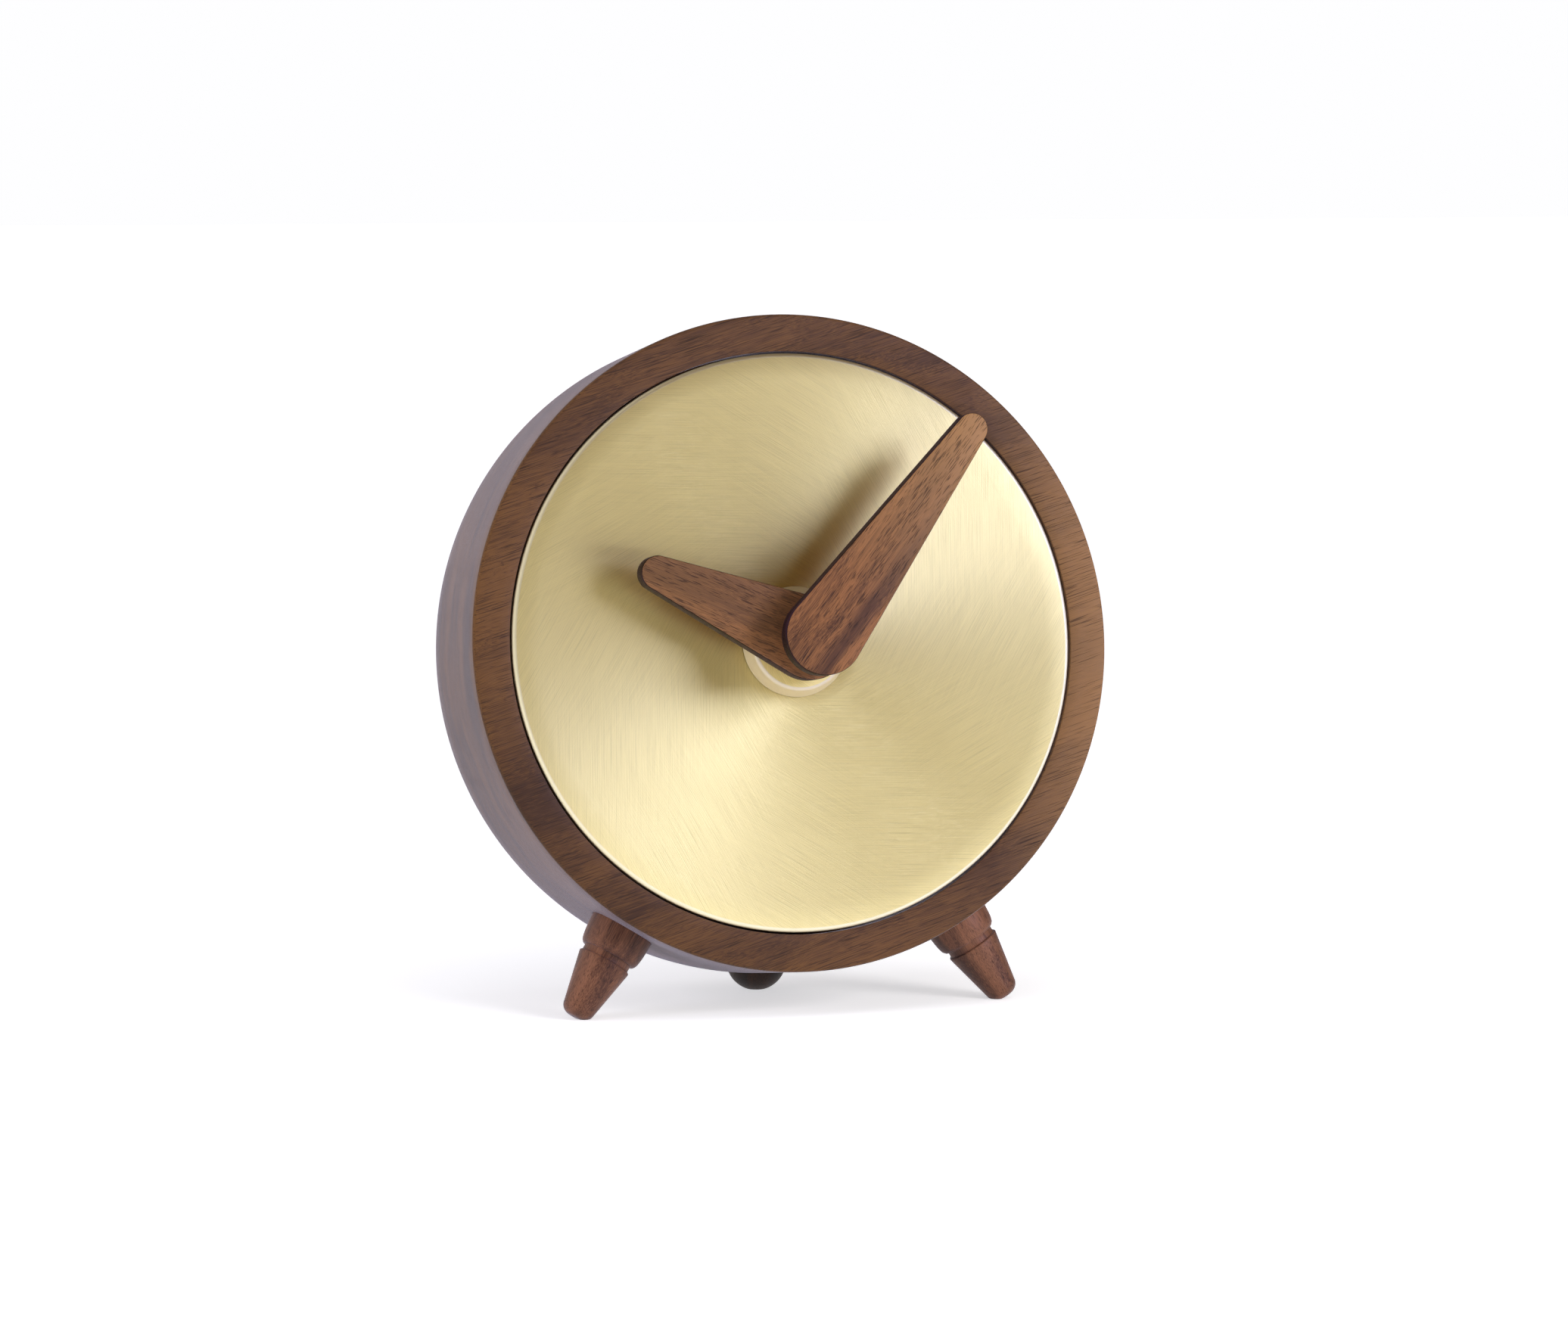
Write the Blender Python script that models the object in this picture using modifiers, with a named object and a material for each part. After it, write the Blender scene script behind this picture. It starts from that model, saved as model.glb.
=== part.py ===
"""Table clock: a turned walnut drum on two turned legs and a ball foot, with a spun brass dial, flat wooden
hands and a quartz movement with its gear train. Metres, +Z up. The clock faces -Y and stands on z = 0.

Most pieces are modelled in the dial's own frame, which the empty "head" carries: X to the right, Y up the
dial, Z out of it, with the origin at the centre of the wooden ring's front face.
"""

import math

import bmesh
import bpy
from mathutils import Vector

# Stance
LEAN = math.radians(9.13)
GROUND_CUT = 0.0100
OVERRUN = 0.0010
MERGE = 1e-6
ROUND_STEPS = 20
THIN_ROUND_STEPS = 12

# Clearances
SEAT_GAP = 0.0001
WOOD_GAP = 0.0003
RUNNING_FIT = 0.00005
SIDE_PLAY = 0.0004

# Case: a drum with a plain side and a rounded shoulder behind it
CASE_RADIUS = 0.0500
CASE_DEPTH = 0.0400
CASE_PLAIN_SIDE = 0.0220
CASE_SHOULDER_DROP = 0.0120
CASE_FRONT_ROUND = 0.0005
CASE_RING_WIDTH = 0.0057
CASE_WALL = 0.0090
CASE_BACK_WALL = 0.0060
CASE_BACK_RIM = 0.0070
CASE_TURN_STEPS = 60
SHOULDER_POINTS = 6
ACCESS_CHAMFER = 0.0010

# Dial pan, its backing and its collar
DIAL_RECESS = 0.0002
DIAL_SHEET = 0.0010
DIAL_SKIRT = 0.0035
DIAL_HOLE_RADIUS = 0.0042
ROLL_WIDTH = 0.0014
ROLL_RISE = 0.0007
ROLL_POINTS = 4
BACKING_THICKNESS = 0.0030
BACKING_TURN_STEPS = 32
COLLAR_FOOT_RADIUS = 0.0084
COLLAR_TOP_RADIUS = 0.0077
COLLAR_INNER_RADIUS = 0.0065
COLLAR_RISE = 0.0034
COLLAR_ROUND = 0.0005
COLLAR_TURN_STEPS = 28

# Hands: hub circle and tip circle joined by their tangents
HAND_THICKNESS = 0.0030
HAND_EASE = 0.0003
HAND_COVER = 0.0009
MINUTE_FRONT = 0.0162
MINUTE_HUB_RADIUS = 0.0060
MINUTE_TIP_RADIUS = 0.0024
MINUTE_CENTRES = 0.0391
MINUTE_ANGLE = math.radians(51.0)
HOUR_FRONT = 0.0089
HOUR_HUB_RADIUS = 0.00625
HOUR_TIP_RADIUS = 0.0026
HOUR_CENTRES = 0.0255
HOUR_ANGLE = math.radians(155.9)
BUSH_WALL = 0.0007

# Legs, turned about their own axis
LEG_SPREAD = math.radians(32.0)
LEG_DEPTH = 0.0099
LEG_SEAT = 0.0012
LEG_LENGTH = 0.0150
LEG_TOP_RADIUS = 0.0050
LEG_COLLAR_RADIUS = 0.00436
LEG_COLLAR_LENGTH = 0.00433
LEG_GROOVE_RADIUS = 0.00383
LEG_GROOVE_WIDTH = 0.00107
LEG_SHAFT_RADIUS = 0.00415
LEG_TIP_RADIUS = 0.00255
LEG_TIP_ROUND = 0.0017
LEG_EDGE = 0.0002
LEG_FLAT = 0.00035
LEG_TURN_STEPS = 20
STUD_RADIUS = 0.0015
STUD_IN_CASE = 0.0050
STUD_IN_LEG = 0.0080

# Ball foot under the shoulder
FOOT_RADIUS = 0.0047
FOOT_DEPTH = 0.0288
FOOT_FLAT = 0.00025
FOOT_SHANK = 0.0003
FOOT_SEAT = 0.0014
FOOT_STUD_IN_FOOT = 0.0025
FOOT_STUD_IN_CASE = 0.0040

# Movement housing, as large as the case's bore takes with this clearance at its corners
MOVEMENT_CLEARANCE = 0.003059
MOVEMENT_DEPTH = 0.0162
MOVEMENT_CORNER = 0.0040
FRONT_HOUSING_DEPTH = 0.0080
HOUSING_WALL = 0.0012
BAY_SHARE = 0.268
PILLAR_RADIUS = 0.0015
PILLAR_SIDES = 8

# Centre stack
BUSHING_RADIUS = 0.0039
BUSHING_FLANGE_RADIUS = 0.0052
BUSHING_FLANGE = 0.0006
BUSHING_RISE = 0.0042
WASHER_RADIUS = 0.0058
WASHER_THICKNESS = 0.0004
NUT_ACROSS_FLATS = 0.0100
NUT_HEIGHT = 0.0020
NUT_SIDES = 6
HOUR_TUBE_RADIUS = 0.0025
MINUTE_ARBOR_RADIUS = 0.0016

# Gear train. The distances between centres are shares of the gear room's reach below the centre
WHEEL_THICKNESS = 0.0009
PLATE_THICKNESS = 0.0008
TRAIN_STEP = 0.0018
BACKLASH = 0.00008
ADDENDUM_SHARE = 0.85
DEDENDUM_SHARE = 1.20
TIP_WIDTH_SHARE = 0.42
ROOT_WIDTH_SHARE = 1.25
CENTRE_TEETH = 48
THIRD_PINION_TEETH = 6
THIRD_TEETH = 45
SECONDS_PINION_TEETH = 6
SECONDS_TEETH = 45
CANNON_TEETH = 12
SETTING_TEETH = 36
SETTING_PINION_TEETH = 12
HOUR_TEETH = 48
TRAIN_CENTRES_SHARE = 0.85
MOTION_CENTRES_SHARE = 1.04
SECONDS_MODULE_SHARE = 0.0367
THIRD_ANGLE = math.radians(180.0)
SETTING_ANGLE = math.radians(60.0)
SETTING_ARBOR_RADIUS = 0.0008
PIVOT_RADIUS = 0.0004
PIVOT_LENGTH = 0.0009
SECONDS_SOCKET = 0.0030

# Setting knob
KNOB_RADIUS = 0.0055
KNOB_HEIGHT = 0.0040
KNOB_RIB_DEPTH = 0.0004
KNOB_RIBS = 20
KNOB_BORE_DEPTH = 0.0025
RIB_SHARES = (0.0, 0.35, 0.5, 0.85)

# Motor and circuit, placed from the gear room's walls
COIL_RADIUS = 0.0033
COIL_LENGTH_SHARE = 0.232
BOBBIN_RADIUS = 0.0038
BOBBIN_CORE_RADIUS = 0.0022
BOBBIN_FLANGE = 0.0008
BOBBIN_BORE_RADIUS = 0.0017
STATOR_THICKNESS = 0.0008
STATOR_ARM = 0.0024
STATOR_DROP_SHARE = 0.26
STATOR_TO_WALL = 0.0049
COIL_TO_WALL = 0.0063
COIL_DEPTH = 0.0105
BOARD_LENGTH_SHARE = 0.357
BOARD_WIDTH = 0.0100
BOARD_THICKNESS = 0.0010
BOARD_TO_WALL = 0.0013
BOARD_TO_TOP = 0.0008
BOARD_STANDOFF = 0.0010
CRYSTAL_RADIUS = 0.0010
CRYSTAL_LENGTH = 0.0062

# AA cell and its contacts. The cell fills its bay, less these clearances
CELL_SIDE_GAP = 0.00035
SPRING_ROOM = 0.0020
CELL_EDGE = 0.0006
NUB_RADIUS = 0.0027
NUB_LENGTH = 0.0010
CONTACT_THICKNESS = 0.0004
CONTACT_WIDTH_SHARE = 0.60
CONTACT_HEIGHT_SHARE = 0.77
SPRING_WIRE = 0.00025
SPRING_LARGE_RADIUS = 0.0034
SPRING_SMALL_RADIUS = 0.0018
SPRING_TURNS = 2
SPRING_POINTS_PER_TURN = 12

# Radii of the case, worked inwards from its side
case_back_radius = CASE_RADIUS - CASE_SHOULDER_DROP
case_bore_radius = CASE_RADIUS - CASE_WALL
dial_seat_radius = CASE_RADIUS - CASE_RING_WIDTH
access_radius = case_back_radius - CASE_BACK_RIM

# Height of the dial's centre: the legs' round tips reach the ground, less the flat worn on each
leg_end = CASE_RADIUS + LEG_LENGTH
leg_drop = math.cos(LEAN) * math.cos(LEG_SPREAD)
dial_height = (
    (leg_end - LEG_TIP_ROUND) * leg_drop
    + (LEG_TIP_RADIUS - LEG_TIP_ROUND) * math.sqrt(1 - leg_drop**2)
    + LEG_TIP_ROUND
    + LEG_DEPTH * math.sin(LEAN)
    - LEG_FLAT
)

# Place of the ball foot: on the shoulder's normal, low enough for its own flat. Its shank reaches its seat
shoulder_depth = CASE_DEPTH - CASE_PLAIN_SIDE
foot_share = (FOOT_DEPTH - CASE_PLAIN_SIDE) / shoulder_depth
foot_fall = math.sqrt(1 - foot_share**2)
foot_tilt = math.atan2(foot_share / shoulder_depth, foot_fall / CASE_SHOULDER_DROP)
foot_centre = (dial_height + FOOT_FLAT - FOOT_RADIUS - FOOT_DEPTH * math.sin(LEAN)) / math.cos(LEAN)
shoulder_at_foot = case_back_radius + CASE_SHOULDER_DROP * foot_fall
foot_base = min(-FOOT_SHANK, (shoulder_at_foot - foot_centre) * math.cos(foot_tilt) - FOOT_SEAT)

# The middle of the clock from front to back, which the origin lies under
front_reach = MINUTE_FRONT * math.cos(LEAN) + MINUTE_HUB_RADIUS * math.sin(LEAN)
back_reach = (
    CASE_PLAIN_SIDE * math.cos(LEAN)
    + case_back_radius * math.sin(LEAN)
    + math.hypot(shoulder_depth * math.cos(LEAN), CASE_SHOULDER_DROP * math.sin(LEAN))
)

# Levels along the dial's axis, worked out from the sizes above
dial_face = -DIAL_RECESS
dial_back = dial_face - DIAL_SHEET
backing_front = dial_back - SEAT_GAP
backing_back = backing_front - BACKING_THICKNESS
ledge = backing_back - SEAT_GAP
movement_front = backing_back - SEAT_GAP
movement_inner_front = movement_front - HOUSING_WALL
movement_split = movement_front - FRONT_HOUSING_DEPTH
movement_back = movement_front - MOVEMENT_DEPTH
movement_inner_back = movement_back + HOUSING_WALL
flange_back = movement_inner_front - SEAT_GAP - BUSHING_FLANGE
hour_front = flange_back - SIDE_PLAY
hour_back = hour_front - WHEEL_THICKNESS
motion_front = hour_back - SIDE_PLAY
motion_back = motion_front - WHEEL_THICKNESS
plate_front = motion_back - SIDE_PLAY
plate_back = plate_front - PLATE_THICKNESS
centre_front = plate_back - SIDE_PLAY
centre_back = centre_front - WHEEL_THICKNESS
third_front = centre_back - TRAIN_STEP
third_back = third_front - WHEEL_THICKNESS
seconds_front = third_back - TRAIN_STEP
seconds_back = seconds_front - WHEEL_THICKNESS
minute_back = MINUTE_FRONT - HAND_THICKNESS
hour_hand_back = HOUR_FRONT - HAND_THICKNESS

# The movement's own plan, from the room that the case's bore leaves it
movement_half = MOVEMENT_CORNER + (case_bore_radius - MOVEMENT_CLEARANCE - MOVEMENT_CORNER) / math.sqrt(2)
room_half = movement_half - HOUSING_WALL
bay_width = BAY_SHARE * 2 * movement_half
bay_bottom = -room_half
bay_top = bay_bottom + bay_width
room_bottom = bay_top + HOUSING_WALL
train_centres = TRAIN_CENTRES_SHARE * -room_bottom
motion_centres = MOTION_CENTRES_SHARE * -room_bottom
setting_x = motion_centres * math.cos(SETTING_ANGLE)
setting_y = motion_centres * math.sin(SETTING_ANGLE)
third_x = train_centres * math.cos(THIRD_ANGLE)
third_y = train_centres * math.sin(THIRD_ANGLE)
centre_module = 2 * train_centres / (CENTRE_TEETH + THIRD_PINION_TEETH)
third_module = 2 * train_centres / (THIRD_TEETH + SECONDS_PINION_TEETH)
seconds_module = SECONDS_MODULE_SHARE * train_centres
cannon_module = 2 * motion_centres / (CANNON_TEETH + SETTING_TEETH)
hour_module = 2 * motion_centres / (HOUR_TEETH + SETTING_PINION_TEETH)
thin_arbor_radius = (THIRD_PINION_TEETH / 2 - DEDENDUM_SHARE) * centre_module

# The cell between its contacts, with the spring's room behind it
cell_radius = bay_width / 2 - CELL_SIDE_GAP
cell_y = (bay_bottom + bay_top) / 2
cell_z = movement_inner_front - SEAT_GAP - cell_radius
plus_contact = room_half - SEAT_GAP - CONTACT_THICKNESS
minus_contact = SEAT_GAP - room_half
cell_front = plus_contact - SEAT_GAP
cell_back = minus_contact + CONTACT_THICKNESS + SPRING_ROOM


def clear_scene():
    for obj in list(bpy.data.objects):
        bpy.data.objects.remove(obj, do_unlink=True)


def new_collection(name, hidden=False):
    found = bpy.data.collections.new(name)
    found.hide_render = hidden
    bpy.context.scene.collection.children.link(found)
    return found


def material(name, colour, roughness, metallic=0.0):
    made = bpy.data.materials.new(name)
    made.use_nodes = True
    shader = made.node_tree.nodes["Principled BSDF"]
    shader.inputs["Base Color"].default_value = (*colour, 1.0)
    shader.inputs["Roughness"].default_value = roughness
    shader.inputs["Metallic"].default_value = metallic
    return made


clear_scene()
clock = new_collection("table_clock")
cutters = new_collection("cutters", hidden=True)
head = bpy.data.objects.new("head", None)
head.location = (0.0, (front_reach - back_reach) / 2, dial_height)
head.rotation_euler.x = math.pi / 2 - LEAN
clock.objects.link(head)

# Each piece has a material of its own, in one of these finishes: colour, roughness, metallic
FINISHES = {
    "walnut": ((0.165, 0.072, 0.034), 0.45, 0.0),
    "brass": ((0.78, 0.60, 0.36), 0.32, 1.0),
    "steel": ((0.62, 0.62, 0.60), 0.35, 1.0),
    "fibreboard": ((0.30, 0.20, 0.12), 0.80, 0.0),
    "black_abs": ((0.02, 0.02, 0.022), 0.50, 0.0),
    "white_acetal": ((0.75, 0.74, 0.70), 0.45, 0.0),
    "copper": ((0.62, 0.25, 0.12), 0.35, 1.0),
    "circuit_green": ((0.03, 0.16, 0.07), 0.50, 0.0),
    "cell_sleeve": ((0.10, 0.10, 0.11), 0.35, 0.0),
}


def add(name, mesh, finish, parent=head, location=(0.0, 0.0, 0.0)):
    """A piece of the clock, with its own material, in the dial's frame unless a parent is given."""
    obj = bpy.data.objects.new(name, mesh)
    obj.parent = parent
    obj.location = location
    if finish is None:
        cutters.objects.link(obj)
        obj.hide_render = True
        obj.display_type = "WIRE"
    else:
        clock.objects.link(obj)
        colour, roughness, metallic = FINISHES[finish]
        obj.data.materials.append(material(name, colour, roughness, metallic))
    return obj


def arc(centre_x, centre_z, radius_x, radius_z, start, end, count):
    """Points on an ellipse's arc, from start to end in degrees, both ends included."""
    for step in range(count + 1):
        angle = math.radians(start + (end - start) * step / count)
        yield centre_x + radius_x * math.cos(angle), centre_z + radius_z * math.sin(angle)


def turned(name, profile, finish, steps=ROUND_STEPS, ring=False, **placing):
    """A turned piece: its profile (radius, height) runs down the outer side. A ring's profile is closed."""
    profile = list(profile)
    count = len(profile)
    edges = [(i, (i + 1) % count) for i in range(count if ring else count - 1)]
    mesh = bpy.data.meshes.new(name)
    mesh.from_pydata([(radius, 0.0, height) for radius, height in profile], edges, [])
    obj = add(name, mesh, finish, **placing)
    screw = obj.modifiers.new("Turn", "SCREW")
    screw.steps = steps
    screw.render_steps = steps
    screw.use_merge_vertices = True
    screw.merge_threshold = MERGE
    screw.use_smooth_shade = True
    return obj


def plate(name, outline, back, front, finish, holes=(), **placing):
    """A flat piece: a filled outline with round or other holes, extruded from its back face to its front."""
    curve = bpy.data.curves.new(name, "CURVE")
    curve.dimensions = "2D"
    curve.fill_mode = "BOTH"
    curve.extrude = (front - back) / 2
    for loop in (outline, *holes):
        spline = curve.splines.new("POLY")
        loop = list(loop)
        spline.points.add(len(loop) - 1)
        for point, (x, y) in zip(spline.points, loop):
            point.co = (x, y, 0.0, 1.0)
        spline.use_cyclic_u = True
    guide = bpy.data.objects.new(name + "_outline", curve)
    cutters.objects.link(guide)
    mesh = welded_mesh(name, guide)
    bpy.data.objects.remove(guide)
    for vertex in mesh.vertices:
        vertex.co.z += (front + back) / 2
    return add(name, mesh, finish, **placing)


def welded_mesh(name, guide):
    """The mesh of a curve, with its loose caps welded to its sides."""
    bpy.context.view_layer.update()
    graph = bpy.context.evaluated_depsgraph_get()
    mesh = bpy.data.meshes.new_from_object(guide.evaluated_get(graph))
    mesh.name = name
    shape = bmesh.new()
    shape.from_mesh(mesh)
    bmesh.ops.remove_doubles(shape, verts=shape.verts, dist=MERGE / 10)
    bmesh.ops.recalc_face_normals(shape, faces=shape.faces)
    shape.to_mesh(mesh)
    shape.free()
    return mesh


def box(name, low, high, finish=None, **placing):
    """A box between two corners."""
    mesh = bpy.data.meshes.new(name)
    shape = bmesh.new()
    bmesh.ops.create_cube(shape, size=1.0)
    low, high = Vector(low), Vector(high)
    bmesh.ops.scale(shape, vec=high - low, verts=shape.verts)
    bmesh.ops.translate(shape, vec=(low + high) / 2, verts=shape.verts)
    shape.to_mesh(mesh)
    shape.free()
    return add(name, mesh, finish, **placing)


def cylinder(name, radius, back, front, finish=None, sides=ROUND_STEPS, **placing):
    """A cylinder about its own Z, from its back end to its front end."""
    mesh = bpy.data.meshes.new(name)
    shape = bmesh.new()
    bmesh.ops.create_cone(
        shape, cap_ends=True, segments=sides, radius1=radius, radius2=radius, depth=front - back
    )
    bmesh.ops.translate(shape, vec=(0.0, 0.0, (front + back) / 2), verts=shape.verts)
    shape.to_mesh(mesh)
    shape.free()
    return add(name, mesh, finish, **placing)


def boolean(obj, other, operation="DIFFERENCE"):
    step = obj.modifiers.new(other.name, "BOOLEAN")
    step.operation = operation
    step.object = other
    return obj


def rounded_rectangle(left, bottom, right, top, corner, count=4):
    for x, y, start in (
        (right - corner, bottom + corner, -90),
        (right - corner, top - corner, 0),
        (left + corner, top - corner, 90),
        (left + corner, bottom + corner, 180),
    ):
        yield from arc(x, y, corner, corner, start, start + 90, count)


def circle(radius, count=ROUND_STEPS, x=0.0, y=0.0):
    return [
        (x + radius * math.cos(math.tau * i / count), y + radius * math.sin(math.tau * i / count))
        for i in range(count)
    ]


def teeth_outline(teeth, module, phase):
    """The outline of a toothed wheel, with one tooth centred on the phase angle."""
    pitch_radius = teeth * module / 2
    half_tooth = math.pi / (2 * teeth) - BACKLASH / (2 * pitch_radius)
    tip = pitch_radius + ADDENDUM_SHARE * module
    root = pitch_radius - DEDENDUM_SHARE * module
    for tooth in range(teeth):
        centre = phase + math.tau * tooth / teeth
        for radius, share in (
            (root, -ROOT_WIDTH_SHARE),
            (tip, -TIP_WIDTH_SHARE),
            (tip, TIP_WIDTH_SHARE),
            (root, ROOT_WIDTH_SHARE),
        ):
            angle = centre + share * half_tooth
            yield radius * math.cos(angle), radius * math.sin(angle)


def wheel(name, teeth, module, phase, back, front, finish=None, **placing):
    return plate(name, teeth_outline(teeth, module, phase), back, front, finish, **placing)


def make_case():
    """The drum, turned in one profile: plain side, rounded shoulder, access opening, bore and dial seat."""
    edge = CASE_FRONT_ROUND
    profile = [
        *arc(CASE_RADIUS - edge, -edge, edge, edge, 90, 0, 1),
        *arc(case_back_radius, -CASE_PLAIN_SIDE, CASE_SHOULDER_DROP, shoulder_depth, 0, -90, SHOULDER_POINTS),
        (access_radius + ACCESS_CHAMFER, -CASE_DEPTH),
        (access_radius, ACCESS_CHAMFER - CASE_DEPTH),
        (access_radius, CASE_BACK_WALL - CASE_DEPTH),
        (case_bore_radius, CASE_BACK_WALL - CASE_DEPTH),
        (case_bore_radius, ledge),
        (dial_seat_radius, ledge),
        (dial_seat_radius, 0.0),
    ]
    return turned("case_shell", profile, "walnut", steps=CASE_TURN_STEPS, ring=True)


def make_dial():
    """Pan, backing disc and collar. The backing's rim lies behind the pan's skirt, on the case's ledge."""
    rim = dial_seat_radius - WOOD_GAP
    half_roll = ROLL_WIDTH / 2
    profile = [
        (DIAL_HOLE_RADIUS, dial_face),
        *arc(rim - half_roll, dial_face, half_roll, ROLL_RISE, 180, 0, ROLL_POINTS),
        (rim, -DIAL_SKIRT),
        (rim - DIAL_SHEET, -DIAL_SKIRT),
        (rim - DIAL_SHEET, dial_back),
        (DIAL_HOLE_RADIUS, dial_back),
    ]
    turned("dial_pan", profile, "brass", steps=CASE_TURN_STEPS, ring=True)
    backing_radius = rim - DIAL_SHEET - SEAT_GAP
    backing = [
        (DIAL_HOLE_RADIUS, backing_front),
        (backing_radius, backing_front),
        (backing_radius, -DIAL_SKIRT - SEAT_GAP),
        (rim, -DIAL_SKIRT - SEAT_GAP),
        (rim, backing_back),
        (DIAL_HOLE_RADIUS, backing_back),
    ]
    turned("dial_backing", backing, "fibreboard", steps=BACKING_TURN_STEPS, ring=True)
    collar_foot = dial_face + SEAT_GAP
    collar_top = dial_face + COLLAR_RISE
    edge = COLLAR_ROUND
    collar = [
        (COLLAR_INNER_RADIUS, collar_top),
        *arc(COLLAR_TOP_RADIUS - edge, collar_top - edge, edge, edge, 90, 10, 3),
        (COLLAR_FOOT_RADIUS, collar_foot),
        (COLLAR_INNER_RADIUS, collar_foot),
    ]
    turned("dial_collar", collar, "brass", steps=COLLAR_TURN_STEPS, ring=True)


def hand_outline(hub_radius, tip_radius, centres, angle, hub_count=14, tip_count=8):
    """Two circles and their outer tangents, pointing along the angle."""
    slope = math.degrees(math.acos((hub_radius - tip_radius) / centres))
    points = [
        *arc(0.0, 0.0, hub_radius, hub_radius, slope, 360 - slope, hub_count),
        *arc(centres, 0.0, tip_radius, tip_radius, -slope, slope, tip_count),
    ]
    for x, y in points:
        yield (
            x * math.cos(angle) - y * math.sin(angle),
            x * math.sin(angle) + y * math.cos(angle),
        )


def make_hand(name, outline, back, bore_radius, bore_depth):
    hand = plate(name, outline, back, back + HAND_THICKNESS, "walnut")
    ease = hand.modifiers.new("Eased edges", "BEVEL")
    ease.width = HAND_EASE
    ease.segments = 2
    ease.limit_method = "ANGLE"
    ease.angle_limit = math.radians(50)
    bore = cylinder(name + "_bore", bore_radius, back - OVERRUN, back + bore_depth)
    return boolean(hand, bore)


def make_hands():
    outline = hand_outline(MINUTE_HUB_RADIUS, MINUTE_TIP_RADIUS, MINUTE_CENTRES, MINUTE_ANGLE)
    bush_inner = MINUTE_ARBOR_RADIUS + RUNNING_FIT
    bush_outer = bush_inner + BUSH_WALL
    bush_front = MINUTE_FRONT - HAND_COVER
    make_hand("minute_hand", outline, minute_back, bush_outer + SEAT_GAP, HAND_THICKNESS - HAND_COVER)
    bush = [
        (bush_outer, bush_front - SEAT_GAP),
        (bush_outer, minute_back),
        (bush_inner, minute_back),
        (bush_inner, bush_front - SEAT_GAP),
    ]
    turned("minute_hand_bush", bush, "brass", steps=ROUND_STEPS, ring=True)
    outline = hand_outline(HOUR_HUB_RADIUS, HOUR_TIP_RADIUS, HOUR_CENTRES, HOUR_ANGLE)
    bush_inner = HOUR_TUBE_RADIUS + RUNNING_FIT
    bush_outer = bush_inner + BUSH_WALL
    make_hand("hour_hand", outline, hour_hand_back, bush_outer + SEAT_GAP, HAND_THICKNESS + OVERRUN)
    bush = [
        (bush_outer, HOUR_FRONT),
        (bush_outer, hour_hand_back),
        (bush_inner, hour_hand_back),
        (bush_inner, HOUR_FRONT),
    ]
    turned("hour_hand_bush", bush, "brass", steps=ROUND_STEPS, ring=True)


def make_legs():
    """Two turned legs, each on an empty whose Z runs outwards along the leg from the dial's axis."""
    ground = box(
        "ground",
        (-2 * CASE_RADIUS, -2 * CASE_RADIUS, -GROUND_CUT),
        (2 * CASE_RADIUS, 2 * CASE_RADIUS, 0.0),
        parent=None,
    )
    seat = CASE_RADIUS - LEG_SEAT
    top = seat + WOOD_GAP
    collar_end = CASE_RADIUS + LEG_COLLAR_LENGTH
    shaft_top = collar_end + LEG_GROOVE_WIDTH
    tip = LEG_TIP_ROUND
    swell = LEG_TOP_RADIUS - LEG_COLLAR_RADIUS
    # The profile runs down from the tip, because the leg's Z points at the ground.
    profile = [
        (0.0, leg_end),
        *arc(LEG_TIP_RADIUS - tip, leg_end - tip, tip, tip, 90, 6, 4),
        (LEG_SHAFT_RADIUS, shaft_top + LEG_EDGE),
        (LEG_SHAFT_RADIUS - LEG_EDGE, shaft_top),
        (LEG_GROOVE_RADIUS, shaft_top),
        (LEG_GROOVE_RADIUS, collar_end),
        (LEG_COLLAR_RADIUS - LEG_EDGE, collar_end),
        *list(arc(LEG_COLLAR_RADIUS, CASE_RADIUS, swell, collar_end - LEG_EDGE - CASE_RADIUS, 90, 0, 3)),
        (LEG_TOP_RADIUS, top),
        (STUD_RADIUS + SEAT_GAP, top),
        (STUD_RADIUS + SEAT_GAP, top + STUD_IN_LEG),
        (0.0, top + STUD_IN_LEG),
    ]
    case = bpy.data.objects["case_shell"]
    for side, sign in (("left", -1), ("right", 1)):
        axis = bpy.data.objects.new(f"leg_{side}_axis", None)
        axis.parent = head
        axis.location.z = -LEG_DEPTH
        axis.rotation_euler = (math.pi / 2, 0.0, sign * LEG_SPREAD)
        clock.objects.link(axis)
        leg = turned(f"leg_{side}", profile, "walnut", steps=LEG_TURN_STEPS, parent=axis)
        boolean(leg, ground)
        socket = cylinder(
            f"leg_{side}_socket",
            LEG_TOP_RADIUS + SEAT_GAP,
            seat,
            leg_end,
            sides=LEG_TURN_STEPS,
            parent=axis,
        )
        boolean(case, socket)
        bore = cylinder(
            f"leg_{side}_stud_bore",
            STUD_RADIUS + SEAT_GAP,
            seat - STUD_IN_CASE - SEAT_GAP,
            seat + OVERRUN,
            sides=THIN_ROUND_STEPS,
            parent=axis,
        )
        boolean(case, bore)
        cylinder(
            f"leg_{side}_stud",
            STUD_RADIUS,
            seat - STUD_IN_CASE,
            top + STUD_IN_LEG - SEAT_GAP,
            "steel",
            sides=THIN_ROUND_STEPS,
            parent=axis,
        )
    return ground


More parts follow.
